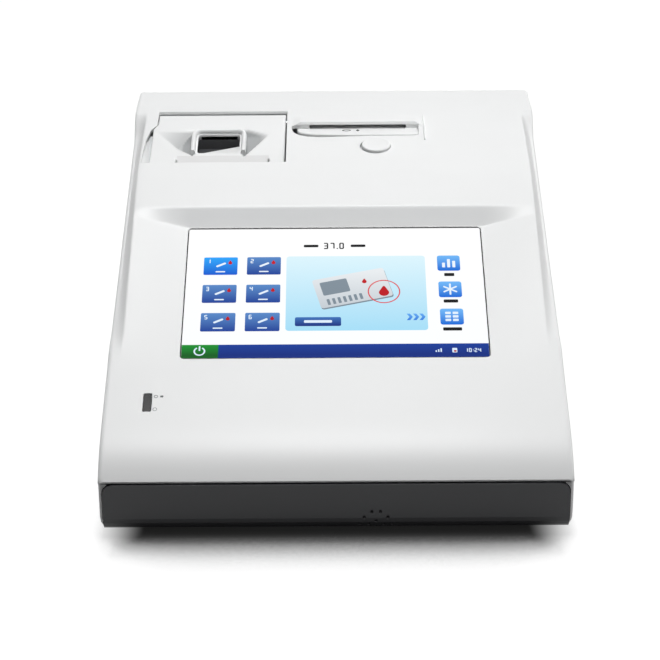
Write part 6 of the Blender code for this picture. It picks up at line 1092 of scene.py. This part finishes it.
def arcBand(centre, outer, inner, start=0.0, end=360.0, steps=28):
    turns = [math.radians(start + (end - start) * i / steps) for i in range(steps + 1)]
    ring = [(centre[0] + outer * math.cos(t), centre[1] + outer * math.sin(t)) for t in turns]
    return ring + [(centre[0] + inner * math.cos(t), centre[1] + inner * math.sin(t))
                   for t in reversed(turns)]


def dropOutline(centre, size):
    points = []
    for i in range(24):
        turn = 2 * math.pi * i / 24
        pull = 1 + 0.75 * max(math.sin(turn), 0) ** 5
        points.append((centre[0] + size * math.cos(turn) * (1 - 0.15 * max(math.sin(turn), 0)),
                       centre[1] + size * math.sin(turn) * pull))
    return points


def spreadTree():       # a small part set out on points, each turned a little if asked
    tree = bpy.data.node_groups.new("setOutParts", "GeometryNodeTree")
    face = tree.interface
    face.new_socket("Places", in_out="INPUT", socket_type="NodeSocketGeometry")
    face.new_socket("Part", in_out="INPUT", socket_type="NodeSocketObject")
    face.new_socket("Turn", in_out="INPUT", socket_type="NodeSocketFloat")
    face.new_socket("Seed", in_out="INPUT", socket_type="NodeSocketInt")
    face.new_socket("Finish", in_out="INPUT", socket_type="NodeSocketMaterial")
    face.new_socket("Parts", in_out="OUTPUT", socket_type="NodeSocketGeometry")
    start = addNode(tree, "NodeGroupInput")
    points = addNode(tree, "GeometryNodeMeshToPoints", links={"Mesh": start.outputs["Places"]})
    part = addNode(tree, "GeometryNodeObjectInfo", links={"Object": start.outputs["Part"]})
    spin = addNode(tree, "FunctionNodeRandomValue", {"data_type": "FLOAT"},
                   links={"Seed": start.outputs["Seed"]})
    angle = addNode(tree, "ShaderNodeMath", {"operation": "MULTIPLY"},
                    links={0: start.outputs["Turn"], 1: spin.outputs[1]})
    turnBy = addNode(tree, "ShaderNodeCombineXYZ", links={"Z": angle.outputs[0]})
    instances = addNode(tree, "GeometryNodeInstanceOnPoints", links={"Points": points.outputs["Points"],
                        "Instance": part.outputs["Geometry"], "Rotation": turnBy.outputs["Vector"]})
    whole = addNode(tree, "GeometryNodeRealizeInstances", links={"Geometry": instances.outputs["Instances"]})
    done = addNode(tree, "GeometryNodeSetMaterial", links={"Geometry": whole.outputs["Geometry"],
                                                           "Material": start.outputs["Finish"]})
    addNode(tree, "NodeGroupOutput", links={"Parts": done.outputs["Geometry"]})
    return tree


setOut = spreadTree()


def spreadParts(name, template, places, finish, turn=0.0, seed=7, body="housing", frame=None):
    points = bmesh.new()
    for place in places:
        points.verts.new(place)
    bmesh.ops.recalc_face_normals(template, faces=template.faces)
    mould = newPiece(name + "Mould", template, None, None)
    spread = growPiece(name, points, setOut, {"Part": mould, "Turn": turn, "Seed": seed,
                                              "Finish": finish}, None)
    dropPiece(mould)
    if frame:
        laid = bmesh.new()
        laid.from_mesh(spread.data)
        inFrame(laid, *frame)
        laid.to_mesh(spread.data)
        laid.free()
        spread.data.set_sharp_from_angle(angle=math.radians(30))
    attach(spread, body)
    return spread


def buildPage():
    pagePlate("pageBase", "paper", 1, [roundedBox(pageSizes["width"], pageSizes["height"],
                                                  pageSizes["corner"])])
    ink = digitOutlines("37.0", pagePoint(0.5, 0.142), 0.0046)
    ink += [pageBox(0.395, 0.445, 0.132, 0.152), pageBox(0.555, 0.605, 0.132, 0.152)]
    for v, w in ((0.376, 0.017), (0.581, 0.024), (0.792, 0.031)):
        ink.append(pageBox(0.8845 - w, 0.8845 + w, v - 0.012, v + 0.012, 0.0005))
    pagePlate("pageInk", "ink", 2, ink)

    columns, rows = (0.115, 0.261), (0.2985, 0.5155, 0.7315)
    high = pageSizes["top"] + 2 * pageSizes["step"]
    centres = [(*pagePoint(u, v), high) for v in rows for u in columns]
    for name, tone, places, lines in (("firstTile", "firstTile", centres[:1], rows[:1]),
                                      ("upperTile", "tile", centres[1:2], rows[:1]),
                                      ("middleTiles", "tile", centres[2:4], rows[1:2]),
                                      ("lowerTiles", "tile", centres[4:], rows[2:])):
        tile = bmesh.new()
        addPrism(tile, roundedBox(0.0185, 0.0136, 0.0008, steps=3), "Z", -pageSizes["step"] * 0.9, 0)
        upper, lower = pageTones[tone]
        top, low = lines[0] - 0.07, lines[-1] + 0.07
        spreadParts(name, tile, places, litPatch(name + "Light", upper, lower, pageLevel(top),
                    pageLevel(low)), frame=(screenMiddle, slopeAngle))
    glyphs, drops = [], []
    for i, (x, y, _) in enumerate(centres):
        glyphs += digitOutlines(str(i + 1), (x - 0.0062, y + 0.0036), 0.0030)
        glyphs.append(turned(roundedBox(0.0058, 0.0013, 0.0005, steps=2), (x + 0.0002, y + 0.0008), 0.5))
        glyphs.append(roundedBox(0.0052, 0.0009, 0.0003, (x, y - 0.0045), 2))
        drops.append(dropOutline((x + 0.0052, y + 0.0022), 0.0011))

    x, y = pagePoint(0.571, 0.512)      # the picture: a test card, its drop and a target ring
    panel = [roundedBox(0.0758, 0.0563, 0.0018, (x, y), 4)]
    pagePlate("pagePanel", "panel", 2, panel, (0.225, 0.80))
    middle, lean = (x - 0.002, y + 0.0035), math.radians(14)
    pagePlate("pictureCardEdge", "cardShade", 3, [turned(roundedBox(0.0400, 0.0220, 0.0016),
                                                         (middle[0] + 0.0004, middle[1] - 0.0009), lean)])
    pagePlate("pictureCard", "card", 4, [turned(roundedBox(0.0400, 0.0220, 0.0016), middle, lean)],
              (0.35, 0.65))
    shades = [turned(roundedBox(0.0150, 0.0100, 0.0008, (-0.009, 0.0030)), middle, lean)]
    shades += [turned(roundedBox(0.0016, 0.0044, 0.0003, (-0.0150 + 0.0030 * i, -0.0072)), middle, lean)
               for i in range(7)]
    pagePlate("pictureCardMarks", "cardShade", 5, shades)
    ringAt = (x + 0.0150, y + 0.0006)
    pagePlate("pictureRing", "ring", 6, [arcBand(ringAt, 0.0088, 0.0081, 0, 180),
                                         arcBand(ringAt, 0.0088, 0.0081, 180, 360)])
    drops.append(dropOutline((ringAt[0], ringAt[1] - 0.0006), 0.0028))
    drops.append(dropOutline((ringAt[0] - 0.0105, ringAt[1] + 0.0076), 0.0013))
    pagePlate("pictureButton", "button", 3, [pageBox(0.368, 0.520, 0.698, 0.765, 0.0010)], (0.698, 0.765))
    glyphs.append(pageBox(0.398, 0.490, 0.722, 0.741, 0.0005))
    chevron = [(-0.0010, 0.0016), (0.0002, 0.0016), (0.0012, 0.0), (0.0002, -0.0016), (-0.0010, -0.0016),
               (0.0, 0.0)]
    px, py = pagePoint(0.745, 0.70)
    pagePlate("pictureArrows", "icon", 3, [[(px + 0.0034 * i + 1.5 * a, py + 1.5 * b) for a, b in chevron]
                                           for i in range(3)], (0.66, 0.74))

    for i, (v0, v1) in enumerate(((0.225, 0.346), (0.430, 0.552), (0.639, 0.760))):
        pagePlate(f"sideIcon{i + 1}", "icon", 2, [pageBox(0.846, 0.923, v0, v1, 0.0014)], (v0, v1))
    ix, iy = pagePoint(0.8845, 0.2855)
    glyphs += [roundedBox(0.0016, h, 0.0003, (ix + dx, iy - 0.0034 + h / 2), 2)
               for dx, h in ((-0.0028, 0.0036), (0, 0.0064), (0.0028, 0.0050))]
    ix, iy = pagePoint(0.8845, 0.491)
    glyphs += [turned(roundedBox(0.0010, 0.0084, 0.0003, steps=2), (ix, iy), k * math.pi / 3)
               for k in range(3)]
    ix, iy = pagePoint(0.8845, 0.6995)
    glyphs += [roundedBox(0.0030, 0.0017, 0.0003, (ix + dx, iy + dy), 2) for dx in (-0.0020, 0.0020)
               for dy in (-0.0026, 0, 0.0026)]

    pagePlate("statusBar", "bar", 2, [pageBox(0.120, 0.9985, 0.899, 0.998, 0.0004)], (0.90, 0.98))
    pagePlate("startButton", "start", 2, [pageBox(0.0015, 0.1220, 0.899, 0.998, 0.0004)], (0.90, 0.98))
    sx, sy = pagePoint(0.060, 0.948)
    glyphs.append(arcBand((sx, sy), 0.0031, 0.0023, -240, 60))
    glyphs.append(roundedBox(0.0009, 0.0034, 0.0003, (sx, sy + 0.0020), 2))
    glyphs += digitOutlines("10:24", pagePoint(0.948, 0.950), 0.0026)
    cx, cy = pagePoint(0.835, 0.950)
    glyphs += [roundedBox(0.0007, 0.0012 + 0.0007 * i, 0.0002, (cx + 0.0013 * (i - 1), cy - 0.0006 +
                          0.00035 * i), 2) for i in range(3)]
    cx, cy = pagePoint(0.887, 0.950)
    glyphs.append(roundedBox(0.0026, 0.0032, 0.0004, (cx, cy), 2))
    pagePlate("pageGlyphs", "glyph", 7, glyphs)
    drops.append(roundedBox(0.0014, 0.0012, 0.0003, (cx + 0.0002, cy - 0.0006), 2))
    pagePlate("pageDrops", "blood", 8, drops)


# Chemically strengthened glass, clear coat over black print: a dark body with a clean gloss
glassBlack = mouldedPlastic("displayGlass", "#0B0C0E", "#090A0B", 0.07, 0.02, 0.000001)
nodes["screen_glass"].data.materials.clear()
nodes["screen_glass"].data.materials.append(glassBlack)
buildPage()
print("display page")


# ---- front band, indicator marks
nodes["front_fascia"].data.materials.clear()
nodes["front_fascia"].data.materials.append(fasciaGrey)
markPlaces = {"tilt": slopeAngle, "rise": 0.00005, "sink": 0.00015}


def buildIndicatorMarks():
    (x, y), _ = openingSizes["led"]
    frame = ((x, y, 0.11114 + y * math.tan(slopeAngle)), slopeAngle)
    dark = bmesh.new()
    low, high = -markPlaces["sink"], markPlaces["rise"]
    addPrism(dark, roundedBox(0.0016, 0.0012, 0.0004, (0.0072, 0.0040)), "Z", low, high)
    inFrame(dark, *frame)
    newPiece("indicatorMarkDark", dark, markInk)
    pale = bmesh.new()
    addBand(pale, circle(0.0011, (0.0042, 0.0040), 24), circle(0.0006, (0.0042, 0.0040), 24), low, high)
    addBand(pale, circle(0.0012, (0.0041, -0.0047), 24), circle(0.0008, (0.0041, -0.0047), 24), low, high)
    inFrame(pale, *frame)
    newPiece("indicatorMarksPale", pale, paleInk)


buildIndicatorMarks()
print("front band and marks")

# ---- screws and feet, seen from below
screwSizes = {"places": [(sx * 0.108, y) for sx in (-1, 1) for y in (-0.118, 0.128)], "headRadius": 0.0029,
              "headHeight": 0.0018, "bottomZ": 0.0039, "shankRadius": 0.0015, "shankTop": 0.0105,
              "cross": (0.0016, 0.0004, 0.0011)}
footSizes = {"places": [(sx * 0.095, sy * 0.1275) for sx in (-1, 1) for sy in (-1, 1)], "radius": 0.008,
             "height": 0.0027, "rib": 0.0004}


def buildScrews():
    sizes = screwSizes
    radius, height = sizes["headRadius"], sizes["headHeight"]
    reach, width, depth = sizes["cross"]
    count = 24
    shape = []
    for i in range(count):      # the driver recess: a cross of four short arms
        turn = 2 * math.pi * i / count
        arm = abs(math.cos(2 * turn))
        shape.append(width + (reach - width) * (1 if arm > 0.9 else 0.12))
    profile = [(None, depth, 0.55), (None, 0, 1.0), (radius * 0.86, 0, 1), (radius * 0.97, 0.0003, 1),
               (radius, 0.0008, 1), (radius, height, 1), (sizes["shankRadius"], height, 1),
               (sizes["shankRadius"], sizes["shankTop"] - sizes["bottomZ"], 1)]
    rings = []
    for r, z, scale in profile:
        rings.append([((shape[i] * scale if r is None else r) * math.cos(2 * math.pi * i / count),
                       (shape[i] * scale if r is None else r) * math.sin(2 * math.pi * i / count), z)
                      for i in range(count)])
    screw = bmesh.new()
    addStack(screw, rings)
    steel = brushedMetal("blackenedScrewSteel", "#55585B", "#3F4144", 0.35, 0.0002, "X")
    placed = [(x, y, sizes["bottomZ"]) for x, y in sizes["places"]]
    screws = spreadParts("housingScrews", screw, placed, steel, turn=2 * math.pi, seed=11)
    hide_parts(*[n for n in nodes if "screw" in n])


def buildFeet():
    sizes = footSizes
    foot = bmesh.new()
    radius, height, rib = sizes["radius"], sizes["height"], sizes["rib"]
    profile = [(0.0006, 0)]
    for i in range(1, 6):
        r = radius * (0.12 + 0.14 * i)
        profile += [(r, 0), (r + 0.0002, rib), (r + 0.0006, rib), (r + 0.0008, 0)]
    profile += [(radius - 0.0004, 0), (radius, 0.0004), (radius, height)]
    addStack(foot, [[(r * math.cos(t), r * math.sin(t), z) for t in
                     [2 * math.pi * i / 36 for i in range(36)]] for r, z in profile])
    feet = spreadParts("rubberFeet", foot, [(x, y, 0) for x, y in sizes["places"]], padRubber)
    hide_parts(*[n for n in nodes if "foot" in n])


buildScrews()
buildFeet()
print("screws and feet")


# ---- floor, lights and camera
# White paper sweep: matt, shows white to the eye and to gloss but gives little light back, and carries a painted
# contact shadow: darker where the front of the object stands close over it, held to the floor in front of it
stageSizes = {"floorHalf": 6.0, "zenithLight": 0.12, "horizonLight": 0.0, "floorGlow": 0.85,
              "floorAlbedo": 0.30, "bounceAlbedo": 0.12, "contactReach": 0.060,
              "contactFrom": (-0.125, -0.145), "contactSides": (0.096, 0.126)}
paintedShadowStops = ((0.30, 0.01), (0.55, 0.05), (0.64, 0.15), (0.71, 0.30), (0.77, 0.60), (0.82, 0.84),
                (0.90, 0.95), (0.97, 1.0))
floorMesh = bpy.data.meshes.new("studioFloor")
half = stageSizes["floorHalf"]
floorMesh.from_pydata([(-half, -half, 0), (half, -half, 0), (half, half, 0), (-half, half, 0)], [],
                      [(0, 1, 2, 3)])
floor = bpy.data.objects.new("studioFloor", floorMesh)
scene.collection.objects.link(floor)


def floorPaper():
    paper, tree, shader = newMaterial("studioPaper")
    shader.inputs["Roughness"].default_value = 0.9
    ray = addNode(tree, "ShaderNodeLightPath")
    seen = addNode(tree, "ShaderNodeMath", {"operation": "MAXIMUM"},
                   links={0: ray.outputs["Is Camera Ray"], 1: ray.outputs["Is Glossy Ray"]})
    near = addNode(tree, "ShaderNodeAmbientOcclusion", {"samples": 8},
                   {"Distance": stageSizes["contactReach"]})
    ramp = addNode(tree, "ShaderNodeValToRGB", links={"Fac": near.outputs["AO"]})
    stops = ramp.color_ramp.elements
    while len(stops) < len(paintedShadowStops):
        stops.new(0.5)
    for stop, (place, level) in zip(stops, paintedShadowStops):
        stop.position = place
        stop.color = (level, level, level, 1)
    # the painted shadow is held to the floor in front of the object and fades out beside it
    place = addNode(tree, "ShaderNodeSeparateXYZ", links={"Vector": objectPlace(tree)})
    across = addNode(tree, "ShaderNodeMath", {"operation": "ABSOLUTE"}, links={0: place.outputs["X"]})
    aside = addNode(tree, "ShaderNodeMapRange", {"interpolation_type": "SMOOTHSTEP"},
                    {"From Min": stageSizes["contactSides"][0], "From Max": stageSizes["contactSides"][1]},
                    {"Value": across.outputs[0]})
    front = addNode(tree, "ShaderNodeMapRange", {"interpolation_type": "SMOOTHSTEP"},
                    {"From Min": stageSizes["contactFrom"][1], "From Max": stageSizes["contactFrom"][0]},
                    {"Value": place.outputs["Y"]})
    clear = addNode(tree, "ShaderNodeMath", {"operation": "MAXIMUM"},
                   links={0: aside.outputs["Result"], 1: front.outputs["Result"]})
    shade = addNode(tree, "ShaderNodeMath", {"operation": "MAXIMUM"},
                    links={0: ramp.outputs["Color"], 1: clear.outputs[0]}).outputs[0]
    albedo = addNode(tree, "ShaderNodeMapRange", inputs={"To Min": stageSizes["bounceAlbedo"],
                     "To Max": stageSizes["floorAlbedo"]}, links={"Value": seen.outputs[0]})
    shown = addNode(tree, "ShaderNodeMath", {"operation": "MULTIPLY"},
                    links={0: albedo.outputs["Result"], 1: shade}).outputs[0]
    grey = addNode(tree, "ShaderNodeCombineColor", links={"Red": shown, "Green": shown, "Blue": shown})
    tree.links.new(grey.outputs["Color"], shader.inputs["Base Color"])
    shader.inputs["Emission Color"].default_value = toLinear("#FFFFFF")
    glow = addNode(tree, "ShaderNodeMath", {"operation": "MULTIPLY"}, {1: stageSizes["floorGlow"]},
                   {0: seen.outputs[0]})
    glow = addNode(tree, "ShaderNodeMath", {"operation": "MULTIPLY"}, links={0: glow.outputs[0], 1: shade})
    tree.links.new(glow.outputs[0], shader.inputs["Emission Strength"])
    return paper


floor.data.materials.append(floorPaper())

world = bpy.data.worlds.new("studioWorld")
scene.world = world
world.use_nodes = True
tree = world.node_tree
back = tree.nodes["Background"]
back.inputs["Color"].default_value = toLinear("#FFFFFF")
height = addNode(tree, "ShaderNodeSeparateXYZ", links={"Vector": objectPlace(tree)}).outputs["Z"]
dome = addNode(tree, "ShaderNodeMapRange", inputs={"To Min": stageSizes["horizonLight"],
               "To Max": stageSizes["zenithLight"]}, links={"Value": height})
ray = addNode(tree, "ShaderNodeLightPath")
seen = addNode(tree, "ShaderNodeMath", {"operation": "MAXIMUM"},
               links={0: ray.outputs["Is Camera Ray"], 1: ray.outputs["Is Glossy Ray"]})
seen = addNode(tree, "ShaderNodeMath", {"operation": "MAXIMUM"},
               links={0: seen.outputs[0], 1: ray.outputs["Is Transmission Ray"]})
level = addNode(tree, "ShaderNodeMapRange", inputs={"To Max": 1.0},
                links={"Value": seen.outputs[0], "To Min": dome.outputs["Result"]})
tree.links.new(level.outputs["Result"], back.inputs["Strength"])


def addArea(name, place, target, size, power):
    lamp = bpy.data.lights.new(name, "AREA")
    lamp.shape = "RECTANGLE"
    lamp.size, lamp.size_y = size
    lamp.energy = power
    made = bpy.data.objects.new(name, lamp)
    made.location = place
    made.rotation_euler = (Vector(target) - Vector(place)).to_track_quat("-Z", "Y").to_euler()
    scene.collection.objects.link(made)
    return made


addArea("keySoftbox", (-0.02, -0.13, 0.93), (0, -0.04, 0.10), (0.34, 0.34), 5.65)
addArea("sideSoftbox", (1.00, -0.05, 0.50), (0, 0, 0.10), (0.45, 0.45), 3.2)
rearBox = addArea("rearSoftbox", (0.30, 1.50, 0.20), (0, 0, 0.10), (0.80, 0.35), 6)
rearBox.visible_glossy = False
leftBox = addArea("leftSoftbox", (-1.15, 0.72, 0.20), (0, 0, 0.08), (0.60, 0.30), 3.2)
leftBox.visible_glossy = False

camData = bpy.data.cameras.new("photoCamera")
camData.lens = 106.7
camData.sensor_width = 36
camera = bpy.data.objects.new("photoCamera", camData)
scene.collection.objects.link(camera)
camera.location = (0, -1.0336, 0.4621)
aim = Matrix.Rotation(math.radians(0.161), 4, "Z") @ Matrix.Rotation(math.radians(68.25), 4, "X")
camera.rotation_euler = (aim @ Matrix.Rotation(math.radians(-0.4), 4, "Z")).to_euler()
scene.camera = camera
scene.view_settings.view_transform = "Standard"
print("stage ready")
